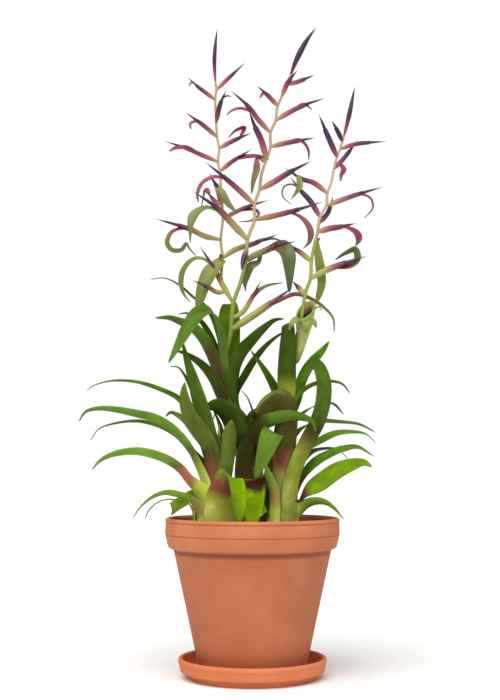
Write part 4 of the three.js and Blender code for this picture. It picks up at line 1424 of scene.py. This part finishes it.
        add_sheet(shape, collar.sides, rows, place, 3)
        for width, route in collar.lips:
            marks = {"seed": width, "green": 1.0, "plain": 1.0, "shade": collar.lip_shade}
            self.add_bract(shape, [Vector(point) for point in route], width, marks)

    def build(self, finishes: Sequence[bpy.types.Material]) -> None:
        """Builds the stalk as one piece.

        Args:
            finishes: The finishes of its stem, pods, bracts and collar.
        """
        shape = bmesh.new()
        if self.collar:
            self.add_collar(shape, self.collar)
        for own in self.stems:
            self.add_stem(shape, own)
        for number, flower in enumerate(self.flowers):
            self.add_flower(shape, flower, number * self.seed_step)
        node = f"{self.name}_flower_stalk"
        finished(f"{node}_in_bloom", shape, list(finishes), "flower_stalk", node)


# ---- Room ----


@dataclass(frozen=True)
class Sun:
    """A soft light far away: the direction that it stands in, its strength, and its width in degrees."""

    name: str
    towards: Point
    strength: float
    width: float = 60

    def hang(self) -> None:
        """Hangs the light."""
        data = bpy.data.lights.new(self.name, "SUN")
        data.energy = self.strength
        data.angle = math.radians(self.width)
        light = bpy.data.objects.new(self.name, data)
        light.rotation_euler = Vector(self.towards).to_track_quat("Z", "Y").to_euler()
        bpy.context.scene.collection.objects.link(light)


@dataclass
class Studio:
    """The pale floor, the soft lights and the camera: distances in metres, lens and sensor in millimetres."""

    distance: float = 1.2109
    height: float = 0.211
    aside: float = -0.0024
    pitch: float = 0.0858
    lens: float = 63.6
    sensor: float = 36
    floor_reach: float = 30
    floor_colour: str = "f4f4f2"
    floor_rough: float = 0.8
    room_light: float = 0.38
    backdrop: float = 1.0
    suns: tuple[Sun, ...] = (Sun("key", (-0.4, -1.1, 1.7), 3.2), Sun("fill", (0.9, -0.8, 0.7), 0.45))

    def stand_camera(self) -> None:
        """Stands the camera in front of the pot, tipped a little upwards."""
        data = bpy.data.cameras.new("camera")
        data.lens = self.lens
        data.sensor_width = self.sensor
        camera = bpy.data.objects.new("camera", data)
        camera.location = (self.aside, -self.distance, self.height)
        camera.rotation_euler = (math.pi / 2 + self.pitch, 0, 0)
        bpy.context.scene.collection.objects.link(camera)
        bpy.context.scene.camera = camera

    def lay_floor(self) -> None:
        """Lays a wide flat pale floor."""
        shape = bmesh.new()
        bmesh.ops.create_grid(shape, x_segments=1, y_segments=1, size=self.floor_reach)
        mesh = bpy.data.meshes.new("floor")
        shape.to_mesh(mesh)
        shape.free()
        pale = Recipe("pale_floor").finish(Base_Color=linear(self.floor_colour), Roughness=self.floor_rough)
        mesh.materials.append(pale)
        floor = bpy.data.objects.new("floor", mesh)
        bpy.context.scene.collection.objects.link(floor)

    def light(self) -> None:
        """Sets a white room, brighter to the camera than to the plant, and its soft lights."""
        world = bpy.data.worlds.new("studio")
        world.use_nodes = True
        room = NodeTree(world.node_tree)
        lit, output = (room.tree.nodes[name] for name in ("Background", "World Output"))
        room.feed(lit.inputs["Strength"], self.room_light)
        seen = room.node("ShaderNodeBackground", None, {"Strength": self.backdrop})
        for shade in (lit, seen):
            room.feed(shade.inputs["Color"], linear("ffffff"))
        choice, path = (room.node(kind) for kind in ("ShaderNodeMixShader", "ShaderNodeLightPath"))
        for number, source in enumerate((path.outputs["Is Camera Ray"], lit.outputs[0], seen.outputs[0])):
            room.feed(choice.inputs[number], source)
        room.feed(output.inputs["Surface"], choice.outputs[0])
        bpy.context.scene.world = world
        bpy.context.scene.view_settings.view_transform = "Standard"
        for sun in self.suns:
            sun.hang()


# ---- The plant ----

LEFT = Rosette(
    name="left", axis=((-35, -24, 126), (-34, -22, 206)),
    core=3.1, ring_step=2.5, sheath=1.5, blade=1,
    leaves=(
        Leaf(Tone.GREEN, ring=6, facing=212, rise=156, width=14, tilt=-15, blush=0.4, band=0, shade=0.95, route=(
            (-59, -38, 170), (-70, -42, 174), (-82, -46, 176), (-94, -50, 172), (-104, -54, 164), (-111, -58, 154))),
        Leaf(Tone.GREEN, ring=6, facing=90, rise=164, width=13, route=(
            (-33, 2, 180), (-33, 24, 199), (-33, 48, 203), (-34, 66, 190))),
        Leaf(Tone.LIME, ring=7, facing=282, rise=168, width=24, wrap=42, taper=0.76, blush=0.95, band=0.9, route=(
            (-26, -50, 184), (-21, -56, 192), (-18, -62, 190), (-15, -65, 176), (-14, -66, 161), (-14, -67, 144))),
        Leaf(Tone.GREEN, ring=5, facing=225, rise=170, width=12.5, tilt=-8, taper=0.6, blush=0.9, band=2, brown=4,
             shade=0.9, route=(
                 (-61, -39, 189), (-68, -41, 198), (-79, -43, 206), (-94, -45, 212), (-110, -47, 215),
                 (-129, -50, 213), (-142, -53, 207), (-150, -56, 198))),
        Leaf(Tone.LIME, ring=7, facing=125, rise=160, width=15, tilt=45, wrap=28, blunt=True, shade=-0.3, route=(
            (-54, -4, 172), (-65, 7, 168), (-80, 24, 158))),
        Leaf(Tone.GREEN, ring=7, facing=180, rise=155, width=6, tilt=40, wrap=24, shade=0.75, route=(
            (-62, -16, 166), (-75, -11, 169), (-85, -8, 169), (-94, -4, 165), (-101, -1, 158), (-105, 2, 149))),
        Leaf(Tone.OLIVE, ring=3, facing=240, rise=198, width=19, taper=0.76, blush=0.9, band=-0.6, brown=3.6,
             shade=-0.2, route=(
                 (-40, -35, 214), (-44, -37, 225), (-52, -40, 237), (-60, -42, 248), (-64, -43, 260),
                 (-65, -44, 272), (-64, -45, 281))),
        Leaf(Tone.GREEN, ring=4, facing=205, rise=184, width=11.5, tilt=-22, wrap=46, blush=0.1, band=1.5,
             shade=0.4, brown=3.4, route=(
                 (-54, -28, 204), (-60, -27, 217), (-69, -26, 229), (-83, -24, 241), (-97, -22, 248),
                 (-110, -21, 251), (-128, -19, 255), (-147, -17, 257), (-161, -16, 254), (-168, -15, 244))),
        Leaf(Tone.GREEN, ring=3, facing=125, rise=188, width=9, tilt=-15, blush=0.3, brown=4, shade=-0.05, route=(
            (-48, -14, 200), (-59, -8, 215), (-73, -2, 230), (-91, 4, 240), (-111, 10, 245), (-133, 16, 244),
            (-153, 22, 238), (-162, 26, 226))),
        Leaf(Tone.GREEN, ring=2, facing=150, rise=198, width=11, tilt=10, blush=0.4, brown=6, shade=0.12, route=(
            (-46, -14, 212), (-55, -10, 241), (-71, -5, 265), (-91, 0, 276), (-116, 5, 284), (-141, 9, 285),
            (-159, 13, 280), (-164, 14, 276))),
        Leaf(Tone.GREEN, ring=2, facing=265, rise=206, width=19, taper=0.42, blush=0, shade=-0.4, route=(
            (-42, -28, 229), (-48, -27, 253), (-54, -25, 274), (-60, -23, 294), (-65, -21, 310), (-68, -20, 323))),
        Leaf(Tone.GREEN, ring=1, facing=170, rise=206, width=9, tilt=40, route=(
            (-43, -18, 227), (-52, -11, 256), (-60, -7, 277), (-67, -3, 291), (-73, -2, 298), (-81, 0, 299))),
        Leaf(Tone.OLIVE, ring=4, facing=300, rise=186, width=17, wrap=46, taper=0.86, blush=0, shade=-0.2, route=(
            (-24, -34, 202), (-22, -33, 217), (-21, -32, 230), (-20, -31, 246))),
        Leaf(Tone.LIME, ring=0, facing=250, rise=203, width=9, blush=0, route=(
            (-33, -25, 215), (-32, -25, 229), (-32, -25, 242))),
        Leaf(Tone.GREEN, ring=1, facing=200, rise=200, width=13, tilt=-25, taper=0.66, blush=0.8, brown=3,
             shade=0.5, route=(
                 (-48, -25, 221), (-56, -24, 233), (-65, -22, 245), (-73, -21, 251), (-79, -20, 253),
                 (-84, -19, 249))),
        Leaf(Tone.DARK, ring=2, facing=345, rise=206, width=26, wrap=26, taper=0.66, blush=0, shade=-0.45, route=(
            (-24, -20, 217), (-27, -15, 230), (-30, -12, 241), (-36, -10, 253), (-42, -9, 262))),
    ),
)

MIDDLE = Rosette(
    name="middle", axis=((-4, 16, 126), (-4, 16, 222), (-22, 14, 268), (-26, 14, 300)),
    core=3, ring_step=1.9, sheath=0.9, blade=0.9,
    leaves=(
        Leaf(Tone.LIME, ring=7, facing=290, rise=174, width=21, wrap=36, taper=0.78, blush=1, band=2.2, maroon=1,
             route=(
                 (1, -2, 185), (2, -8, 189), (3, -15, 186), (3, -22, 178), (1, -27, 161), (-1, -29, 141))),
        Leaf(Tone.GREEN, ring=4, facing=70, rise=198, width=13, wrap=48, route=(
            (-2, 30, 217), (5, 46, 228), (11, 58, 228), (16, 72, 216))),
        Leaf(Tone.GREEN, ring=4, facing=172, rise=205, width=22, tilt=-40, route=(
            (-24, 22, 234), (-31, 42, 256), (-37, 66, 260), (-42, 84, 246))),
        Leaf(Tone.DARK, ring=5, facing=350, rise=220, width=22, tilt=-60, wrap=44, taper=0.55, blush=0.9, band=-1,
             brown=5, maroon=0.7, shade=-0.1, route=(
                 (-2, 4, 237), (-2, -4, 245), (0, -14, 253), (2, -23, 256), (4, -30, 253))),
        Leaf(Tone.GREEN, ring=5, facing=238, rise=203, width=16, tilt=-20, wrap=46, taper=0.6, blush=0.8, band=-1.6,
             brown=8, maroon=0.9, deep=0.5, shade=-0.1, route=(
                 (-7, 0, 221), (-1, -7, 232), (7, -14, 241), (21, -20, 247), (36, -25, 250), (48, -29, 248),
                 (57, -32, 244), (60, -33, 234))),
        Leaf(Tone.GREEN, ring=3, facing=85, rise=205, width=14, route=(
            (-13, 32, 224), (-12, 56, 240), (-11, 80, 239), (-10, 100, 221))),
        Leaf(Tone.DARK, ring=3, facing=195, rise=232, width=20, tilt=-42, wrap=60, taper=0.45, brown=6, route=(
            (-31, 10, 268), (-38, 8, 286), (-49, 6, 300), (-61, 4, 309), (-69, 3, 313), (-78, 2, 315))),
        Leaf(Tone.DARK, ring=2, facing=262, rise=220, width=29, taper=0.6, blush=0, deep=0.6, route=(
            (-12, -4, 233), (-18, -8, 246), (-27, -13, 256), (-37, -18, 260), (-45, -22, 256), (-49, -24, 246))),
        Leaf(Tone.DARK, ring=2, facing=20, rise=242, width=13, tilt=40, route=(
            (-16, 18, 269), (-7, 20, 291), (8, 24, 315), (23, 28, 330), (37, 31, 339))),
        Leaf(Tone.DARK, ring=2, facing=150, rise=258, width=13, tilt=35, shade=0.85, route=(
            (-33, 24, 292), (-38, 28, 318), (-47, 33, 340), (-56, 36, 351), (-67, 38, 356), (-76, 40, 355))),
        Leaf(Tone.OLIVE, ring=1, facing=82, rise=272, width=24, taper=0.85, shade=0.55, route=(
            (-23, 23, 307), (-23, 25, 337), (-23, 29, 359), (-23, 36, 365), (-22, 43, 356))),
        Leaf(Tone.DARK, ring=1, facing=195, rise=255, width=20, tilt=-40, taper=0.55, blush=0, brown=8, shade=0.8,
             route=(
                 (-35, 13, 292), (-42, 14, 314), (-50, 15, 329), (-61, 16, 340), (-72, 17, 345), (-83, 18, 349),
                 (-98, 19, 349))),
        Leaf(Tone.DARK, ring=0, facing=335, rise=250, width=20, tilt=-42, wrap=38, taper=0.6, blush=0, route=(
            (-18, 8, 294), (-12, 4, 311), (-1, 0, 324), (10, -4, 335), (22, -7, 344), (31, -9, 345))),
        Leaf(Tone.GREEN, ring=0, facing=225, rise=278, width=20, tilt=35, taper=0.72, blush=0, shade=0.02,
             bloom=0.55, route=(
                 (-31, 2, 315), (-33, -2, 334), (-37, -8, 346), (-43, -14, 352), (-51, -20, 349), (-60, -28, 337),
                 (-69, -34, 320), (-80, -40, 299))),
        Leaf(Tone.GREEN, ring=0, facing=130, rise=277, width=9, tilt=-12, shade=0.15, route=(
            (-29, 20, 307), (-36, 23, 337), (-47, 26, 361), (-60, 28, 371), (-73, 30, 383), (-89, 32, 391),
            (-104, 34, 390))),
        Leaf(Tone.DARK, ring=3, facing=310, rise=222, width=6, tilt=20, blush=0.9, brown=7, route=(
            (1, 4, 239), (1, 2, 252), (-2, 0, 262), (-6, -2, 270), (-11, -4, 275))),
    ),
)

RIGHT = Rosette(
    name="right", axis=((27, -5, 126), (34, -5, 262)),
    core=2.8, ring_step=1.9, sheath=0.9, blade=0.9,
    leaves=(
        Leaf(Tone.GREEN, ring=7, facing=320, rise=153, width=13, tilt=-10, blush=0.1, shade=1.9, route=(
            (50, -14, 163), (58, -18, 167), (68, -23, 167), (77, -27, 162), (87, -34, 151))),
        Leaf(Tone.GREEN, ring=7, facing=203, rise=146, width=10, wrap=28, shade=2.4, route=(
            (14, -15, 156), (12, -22, 161), (10, -29, 159), (7, -33, 154))),
        Leaf(Tone.GREEN, ring=7, facing=90, rise=172, width=13, route=(
            (40, 14, 190), (42, 40, 211), (43, 65, 211), (44, 85, 194))),
        Leaf(Tone.LIME, ring=6, facing=340, rise=160, width=19, tilt=80, taper=0.62, blush=0.9, band=0.4,
             shade=-0.12, bloom=0.3, route=(
                 (50, -12, 171), (56, -14, 178), (68, -17, 187), (82, -20, 197), (96, -23, 203), (106, -25, 205),
                 (114, -27, 201))),
        Leaf(Tone.OLIVE, ring=4, facing=212, rise=200, width=24, tilt=-42, wrap=42, taper=0.64, roll=40, blush=0.9,
             brown=3.8, shade=0, bloom=0.6, route=(
                 (20, -15, 215), (21, -18, 229), (22, -25, 233), (19, -31, 232), (13, -36, 217), (2, -40, 189))),
        Leaf(Tone.GREEN, ring=6, facing=238, rise=160, width=13, wrap=26, taper=0.6, blush=0.5, band=0.6, shade=1.0,
             brown=1.5, route=(
                 (20, -20, 177), (17, -18, 187), (14, -15, 197), (12, -12, 205))),
        Leaf(Tone.GREEN, ring=5, facing=10, rise=170, width=12.5, tilt=45, blush=0.9, band=0.4, shade=0.3,
             bloom=0.4, route=(
                 (44, -4, 177), (50, -1, 191), (61, 3, 204), (74, 6, 212), (89, 9, 218), (104, 12, 220),
                 (120, 16, 211))),
        Leaf(Tone.OLIVE, ring=5, facing=264, rise=188, width=22, taper=0.85, blush=0.9, band=1.2, brown=16, rim=-1,
             route=(
                 (31, -17, 217), (33, -17, 246), (32, -18, 259), (26, -17, 266), (16, -12, 262), (6, -6, 253),
                 (0, -1, 247))),
        Leaf(Tone.DARK, ring=4, facing=55, rise=188, width=10, tilt=-10, shade=1.0, route=(
            (44, 4, 200), (57, 15, 214), (69, 23, 218), (85, 31, 218), (97, 40, 208))),
        Leaf(Tone.DARK, ring=8, facing=165, rise=198, width=15, tilt=45, wrap=40, shade=0.5, route=(
            (27, -1, 246), (23, 1, 273), (15, 3, 290), (7, 5, 303), (-2, 8, 316))),
        Leaf(Tone.OLIVE, ring=3, facing=28, rise=206, width=13, tilt=20, blush=0.2, bloom=0.5, shade=0.6, route=(
            (43, 0, 212), (54, 5, 218), (66, 10, 225), (82, 17, 233), (99, 23, 235), (114, 29, 233), (124, 34, 224))),
        Leaf(Tone.GREEN, ring=8, facing=292, rise=172, width=17, wrap=26, taper=0.72, blush=0.3, brown=4.3, band=5,
             shade=-0.36, foot=0.6, route=(
                 (38, -19, 187), (45, -18, 208), (55, -17, 228), (65, -17, 248), (70, -16, 270), (69, -16, 287),
                 (64, -18, 298), (58, -21, 300), (52, -23, 292), (49, -24, 281))),
        Leaf(Tone.GREEN, ring=2, facing=50, rise=217, width=10, tilt=-50, shade=0.3, route=(
            (39, 2, 227), (52, 10, 240), (67, 18, 245), (87, 27, 245), (108, 36, 243), (125, 44, 235))),
        Leaf(Tone.GREEN, ring=1, facing=70, rise=227, width=11, tilt=-50, blush=0, shade=0.15, route=(
            (39, 4, 242), (50, 14, 253), (63, 24, 261), (81, 36, 264), (93, 46, 253))),
        Leaf(Tone.GREEN, ring=1, facing=322, rise=237, width=9, route=(
            (41, -8, 261), (50, -8, 275), (63, -6, 282), (79, -3, 284), (89, 0, 281), (96, 2, 272))),
        Leaf(Tone.GREEN, ring=0, facing=40, rise=237, width=14, tilt=15, taper=0.84, blush=0, shade=1.1, route=(
            (44, 0, 264), (47, 4, 278), (53, 8, 293), (62, 12, 306), (70, 15, 316), (77, 17, 326))),
        Leaf(Tone.DARK, ring=0, facing=250, rise=237, width=22, taper=0.6, roll=13, blush=0, band=4.2, foot=0.8,
             shade=-0.18, route=(
                 (32, -9, 266), (32, -12, 290), (33, -14, 314), (34, -13, 331), (34, -8, 340), (35, 2, 339),
                 (35, 11, 333), (34, 19, 324))),
    ),
)

MIDDLE_STALK = Stalk(
    name="middle",
    stems=(
        Stem(thick=6, thin=2.4, route=(
            (-4, 16, 127), (-4, 16, 222), (-22, 14, 268), (-27, 14, 307), (-22, 14, 331), (-19, 13, 363),
            (-12, 10, 383), (-6, 6, 407), (-5, 4, 425), (2, 2, 445), (2, 0, 460), (7, 0, 475), (9, -1, 490),
            (14, -2, 505), (18, -2, 518), (18, -3, 532), (23, -4, 544), (25, -4, 558), (30, -5, 570), (39, -6, 592))),
        Stem(thick=3.4, thin=2.2, route=(
            (-19, 14, 363), (-27, 16, 377), (-31, 18, 389), (-30, 22, 410), (-32, 24, 429), (-30, 25, 450),
            (-32, 27, 483), (-33, 28, 499), (-35, 28, 510), (-34, 28, 524), (-36, 29, 536), (-37, 29, 551),
            (-38, 30, 575), (-37, 30, 587), (-38, 30, 594))),
    ),
    flowers=(
        Flower(pod=((-38, 30, 593), (-39, 30, 615), (-38, 30, 633), (-36, 30, 651)), girth=4.4, spindle=True),
        Flower(pod=((-37, 30, 585), (-27, 32, 596), (-7, 38, 617)), girth=4.5),
        Flower(pod=((-38, 30, 575), (-54, 25, 586), (-67, 22, 597)), girth=4.5, width=3, bract=(
            (-60, 24, 590), (-63, 22, 590), (-64, 20, 586))),
        Flower(pod=((-37, 29, 551), (-33, 18, 566), (-26, 7, 579)), girth=5.5, dusk=0.12, shade=-0.15, width=4,
               bract=(
                   (-30, 16, 568), (-27, 11, 573), (-21, 7, 572))),
        Flower(pod=((-36, 29, 536), (-51, 25, 548), (-69, 21, 560)), girth=5, width=5, bract=(
            (-50, 25, 547), (-58, 22, 550), (-63, 20, 547), (-62, 19, 541))),
        Flower(pod=((-34, 28, 524), (-18, 33, 534), (0, 38, 543)), girth=5.2, width=6, bract=(
            (-13, 35, 536), (-8, 33, 547), (-17, 32, 544), (-25, 30, 535))),
        Flower(pod=((-35, 28, 510), (-53, 25, 517), (-68, 22, 523), (-90, 18, 529)), girth=5, width=9, bract=(
            (-53, 25, 517), (-67, 20, 522), (-78, 16, 521), (-84, 14, 517))),
        Flower(pod=((-33, 28, 500), (-21, 32, 511), (0, 38, 526)), girth=5, width=9, bract=(
            (-17, 33, 512), (-3, 36, 517), (10, 40, 518), (18, 42, 515))),
        Flower(pod=((-31, 26, 463), (-36, 17, 482), (-41, 13, 490), (-43, 10, 495)), girth=6, plain=0.85, width=11,
               bract=(
                   (-37, 17, 482), (-31, 13, 473), (-24, 9, 462), (-16, 4, 453))),
        Flower(pod=((-31, 27, 465), (-39, 32, 471), (-47, 39, 483)), girth=5, width=8, bract=(
            (-46, 39, 486), (-48, 39, 483), (-50, 39, 475), (-53, 39, 462))),
        Flower(pod=((-32, 24, 429), (-48, 21, 432), (-63, 19, 439), (-99, 14, 449)), girth=6, green=0.9, width=6.5,
               bract=(
                   (-53, 20, 435), (-70, 18, 439), (-81, 17, 435), (-85, 15, 424), (-80, 14, 417), (-71, 13, 417),
                   (-66, 12, 423), (-63, 11, 418), (-56, 10, 410))),
        Flower(pod=((-30, 25, 450), (-17, 27, 458), (-1, 28, 465), (18, 29, 471)), girth=5, width=6.5, bract=(
            (-13, 27, 458), (3, 29, 460), (6, 30, 456), (-2, 31, 450), (-14, 33, 449))),
        Flower(pod=((-21, 14, 365), (-31, 16, 384), (-39, 18, 400), (-54, 20, 423)), girth=6, width=9, leafy=True,
               bract=(
                   (-39, 18, 399), (-48, 19, 408), (-58, 20, 409), (-68, 21, 399), (-71, 22, 386), (-69, 23, 374),
                   (-62, 24, 365))),
        Flower(pod=((-30, 22, 410), (-17, 24, 419), (-2, 25, 424), (28, 28, 436)), girth=6, width=7, bract=(
            (-3, 25, 424), (8, 27, 428), (21, 30, 431), (32, 32, 428))),
        Flower(pod=((-27, 16, 375), (-35, 13, 374), (-43, 9, 378), (-60, 2, 385)), girth=5),
        Flower(pod=((-30, 22, 408), (-33, 18, 414)), girth=4.5, plain=1, shade=-0.08, green=1, width=20, bract=(
            (-29, 18, 407), (-40, 15, 396), (-47, 13, 383), (-52, 11, 366), (-55, 10, 352))),
        Flower(pod=((39, -6, 590), (43, -6, 603), (53, -6, 623), (64, -6, 639)), girth=6, spindle=True, dusk=0.2),
        Flower(pod=((29, -5, 569), (35, -8, 581), (45, -13, 593)), girth=5.5),
        Flower(pod=((35, -5, 580), (45, -2, 584), (63, 3, 593)), girth=5),
        Flower(pod=((25, -4, 559), (15, -7, 569), (4, -10, 578)), girth=5, width=5.5, bract=(
            (15, -7, 568), (11, -9, 570), (7, -12, 564))),
        Flower(pod=((23, -4, 544), (37, -2, 553), (52, 0, 561), (74, 2, 569)), girth=5.5, width=6, bract=(
            (39, -2, 555), (51, -1, 561), (56, 0, 559), (60, 0, 556))),
        Flower(pod=((18, -3, 532), (5, -4, 546), (-3, -5, 557), (-23, -7, 575)), girth=5.5, width=5.5, bract=(
            (5, -4, 547), (-3, -6, 553), (-13, -8, 555), (-21, -10, 552), (-26, -11, 547))),
        Flower(pod=((14, -2, 505), (9, -9, 522), (2, -15, 536), (-4, -22, 551)), girth=7),
        Flower(pod=((18, -2, 518), (29, -1, 521), (41, 1, 524), (64, 4, 529)), girth=5.5, width=7, bract=(
            (33, 0, 523), (46, 0, 525), (53, 1, 520), (56, 1, 513), (56, 2, 505))),
        Flower(pod=((11, -2, 503), (6, -5, 507), (3, -8, 503)), girth=4.5, green=0.7, width=8, bract=(
            (6, -6, 500), (4, -8, 493), (1, -9, 482), (-1, -10, 468))),
        Flower(pod=((7, 0, 475), (21, 2, 483), (36, 4, 493), (61, 8, 507)), girth=6.5),
        Flower(pod=((2, 0, 460), (-12, -2, 473), (-27, -4, 486), (-48, -8, 502)), girth=6, width=7, bract=(
            (-24, -4, 483), (-37, -7, 486), (-49, -9, 480), (-54, -12, 468), (-53, -14, 459))),
        Flower(pod=((-4, 4, 425), (-20, 0, 441), (-35, -3, 456), (-59, -8, 472)), girth=7.5, width=12, leafy=True,
               bract=(
                   (-30, -2, 451), (-45, -5, 456), (-55, -7, 450), (-60, -10, 440), (-61, -14, 418))),
        Flower(pod=((2, 2, 445), (19, -6, 447), (37, -14, 450), (71, -22, 459)), girth=6, green=0.3, plain=0,
               width=8, leafy=True, bract=(
                   (25, -9, 449), (39, -15, 448), (49, -18, 442), (56, -20, 430), (55, -21, 419), (49, -21, 412))),
        Flower(pod=((-4, 4, 418), (-9, 0, 404), (-11, -5, 393)), girth=6, spindle=True),
        Flower(pod=((-5, 6, 406), (12, 3, 414), (25, 1, 419), (44, -2, 423)), girth=7, shade=-0.38, width=21,
               bract=(
                   (17, 2, 416), (27, -1, 417), (34, -6, 410), (36, -9, 394), (36, -11, 370))),
        Flower(pod=((-6, 7, 404), (2, 7, 409), (12, 9, 413)), girth=5, shade=-0.38, width=10, leafy=True, bract=(
            (12, 8, 410), (6, 9, 404), (-2, 9, 399), (-7, 9, 386), (-7, 11, 374))),
        Flower(pod=((-20, 13, 348), (-10, 14, 354), (-2, 14, 366), (9, 15, 387)), girth=5.5, green=1, dusk=-0.12,
               width=6, bract=(
                   (-5, 14, 361), (3, 16, 373), (14, 18, 381), (31, 21, 385))),
        Flower(pod=((-21, 13, 336), (3, 10, 352), (19, 7, 363), (42, 3, 379)), girth=8, green=1, dusk=-0.2, width=7,
               bract=(
                   (9, 9, 354), (27, 9, 365), (43, 8, 371), (57, 8, 367), (72, 8, 357), (80, 8, 347), (81, 7, 333))),
    ),
)

RIGHT_STALK = Stalk(
    name="right",
    stems=(
        Stem(thick=5.6, thin=2.2, route=(
            (27, -5, 127), (34, -5, 262), (38, -5, 299), (44, -5, 329), (49, -5, 351), (52, -5, 371), (57, -6, 385),
            (58, -6, 402), (61, -6, 418), (64, -6, 430), (67, -7, 447), (73, -7, 458), (74, -7, 470), (78, -7, 481),
            (81, -7, 496), (84, -8, 507), (87, -8, 515), (91, -8, 528))),
    ),
    collar=Collar(
        axis=((42, -5, 300), (48, -6, 323), (51, -6, 343), (53, -6, 364)),
        girths=(5, 10, 17, 20), mouth=(52, -6, 353), faces=(-0.35, -0.62, 0.7),
        lips=(
            (9, ((49.2, -13.2, 341), (43, -18, 343), (38, -20, 339), (35, -20, 332))),
            (9, ((51, -13.4, 341), (52, -18, 341), (52, -20, 335), (52, -20, 329))),
            (8, ((55, -12.6, 343), (59, -18, 341), (62, -19, 335))),
            (3, ((60.2, -6, 354), (65, -7, 357), (68, -7, 353))),
        ),
    ),
    flowers=(
        Flower(pod=((91, -8, 526), (95, -8, 544), (102, -8, 578)), girth=5, spindle=True),
        Flower(pod=((89, -8, 522), (84, -11, 532), (78, -14, 542)), girth=5, dusk=0.35),
        Flower(pod=((87, -8, 514), (103, -5, 520), (134, 0, 524)), girth=4.8, dusk=0.1),
        Flower(pod=((84, -8, 506), (76, -11, 523), (65, -16, 548)), girth=6, dusk=0.3, shade=0.25),
        Flower(pod=((82, -7, 494), (91, -4, 506), (106, 3, 527)), girth=5, dusk=0.25, shade=0.2, width=7, bract=(
            (88, -5, 500), (90, -6, 494), (88, -6, 489), (87, -5, 482))),
        Flower(pod=((74, -7, 470), (60, -10, 480), (49, -12, 483), (31, -15, 494)), girth=5.5, green=0, width=7,
               leafy=True, bract=(
                   (53, -11, 482), (46, -14, 485), (46, -18, 474), (37, -21, 460))),
        Flower(pod=((67, -7, 446), (58, 1, 463), (46, 8, 479), (37, 12, 492)), girth=6, dusk=0.25, green=0, width=3,
               bract=(
                   (50, 6, 474), (40, 8, 482), (32, 9, 480), (30, 9, 471), (40, 9, 461))),
        Flower(pod=((73, -7, 457), (89, -5, 464), (105, -3, 470), (131, -1, 478)), girth=5.5, width=5, bract=(
            (93, -5, 466), (108, -4, 469), (117, -4, 465), (119, -3, 456), (110, -3, 445))),
        Flower(pod=((67, -7, 440), (75, 0, 452), (81, 8, 471)), girth=5.5, dusk=0.3, green=0),
        Flower(pod=((65, -6, 431), (76, -5, 435), (87, -4, 437), (103, -2, 441)), girth=6.5, green=0, plain=0,
               width=11, leafy=True, bract=(
                   (82, -4, 435), (93, -5, 436), (102, -6, 430), (104, -6, 423), (101, -6, 417))),
        Flower(pod=((58, -6, 402), (47, 3, 413), (33, 10, 424)), girth=5.5),
        Flower(pod=((62, -6, 421), (67, -4, 426)), girth=4.5, plain=1, width=11, bract=(
            (65, -5, 419), (66, -2, 400), (68, -1, 381), (65, -1, 368), (63, -1, 361))),
        Flower(pod=((58, -6, 385), (72, -7, 393), (88, -9, 399), (113, -12, 407)), girth=7, width=12, bract=(
            (80, -8, 396), (96, -8, 397), (104, -9, 404), (101, -9, 414), (91, -9, 410), (81, -10, 403))),
        Flower(pod=((52, -5, 369), (46, -2, 376), (39, 1, 384)), girth=5.5),
    ),
)

FLOWER_FINISHES = (
    FlowerFinish("flower_stem", stops=((0.0, "6c8028"), (0.2, "84943a"), (0.38, "949c4c"), (0.52, "ba9e7c"),
                                      (0.7, "be9f86"), (1.0, "a88a6c")),
                 green=((0.0, "7c8a38"), (1.0, "8f9448")), spread=0.1),
    FlowerFinish("flower_pod", stops=((0.0, "a8965a"), (0.12, "a87258"), (0.3, "8e4050"), (0.46, "6c264a"),
                                      (0.6, "442240"), (0.8, "321e3c"), (1.0, "221826")),
                 green=((0.0, "a4a054"), (0.3, "98904a"), (0.45, "864e38"), (0.6, "4c2438"), (0.8, "33203a"),
                        (1.0, "221826")), spread=0.24),
    FlowerFinish("flower_bract", stops=((0.0, "984a58"), (0.3, "8c2a4c"), (0.65, "802848"), (0.9, "5c4c34"),
                                        (1.0, "545438")),
                 green=((0.0, "904a44"), (0.2, "7c4034"), (0.42, "687430"), (0.8, "4f6c2c"), (1.0, "3c4a28")),
                 spread=0.3),
)
LEAF_FINISHES = (
    LeafFinish(Tone.LIME, blade="6e9206", light="8aa812", under="78903a", sheath="9ca03c"),
    LeafFinish(Tone.GREEN, blade="2e4e04", light="4c740c", under="5c7a2c", sheath="929a3a"),
    LeafFinish(Tone.OLIVE, blade="405806", light="566e10", under="647632", sheath="8c903c"),
    LeafFinish(Tone.DARK, blade="203804", light="32500c", under="42581c", sheath="4a501c", foot="6e6a32"),
)


def main() -> None:
    """Builds the scene."""
    logging.basicConfig(level=logging.INFO)
    studio = Studio()
    studio.stand_camera()
    studio.lay_floor()
    studio.light()
    Saucer().build(ClayFinish("clay_saucer", "c86f40", "d07a4e", "9a4c2c").material())
    pot = Pot()
    wall_top = pot.neck_height + pot.chamfer
    pot.build(ClayFinish("clay_pot", "b8683e", "c67a4e", "9e5434", wall_top, pot.painted_shade_lines()).material())
    Soil(pot.inner_wall(GAP)).build(SoilFinish().material())
    leaves = {finish.tone: finish.material() for finish in LEAF_FINISHES}
    for rosette in (LEFT, MIDDLE, RIGHT):
        rosette.build(leaves)
    flower_parts = [finish.material() for finish in FLOWER_FINISHES] + [CollarFinish().material()]
    for stalk in (MIDDLE_STALK, RIGHT_STALK):
        stalk.build(flower_parts)
    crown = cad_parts["left_shoot_crown"].data.materials
    crown.clear()
    crown.append(CrownFinish().material())


if __name__ == "__main__":
    main()
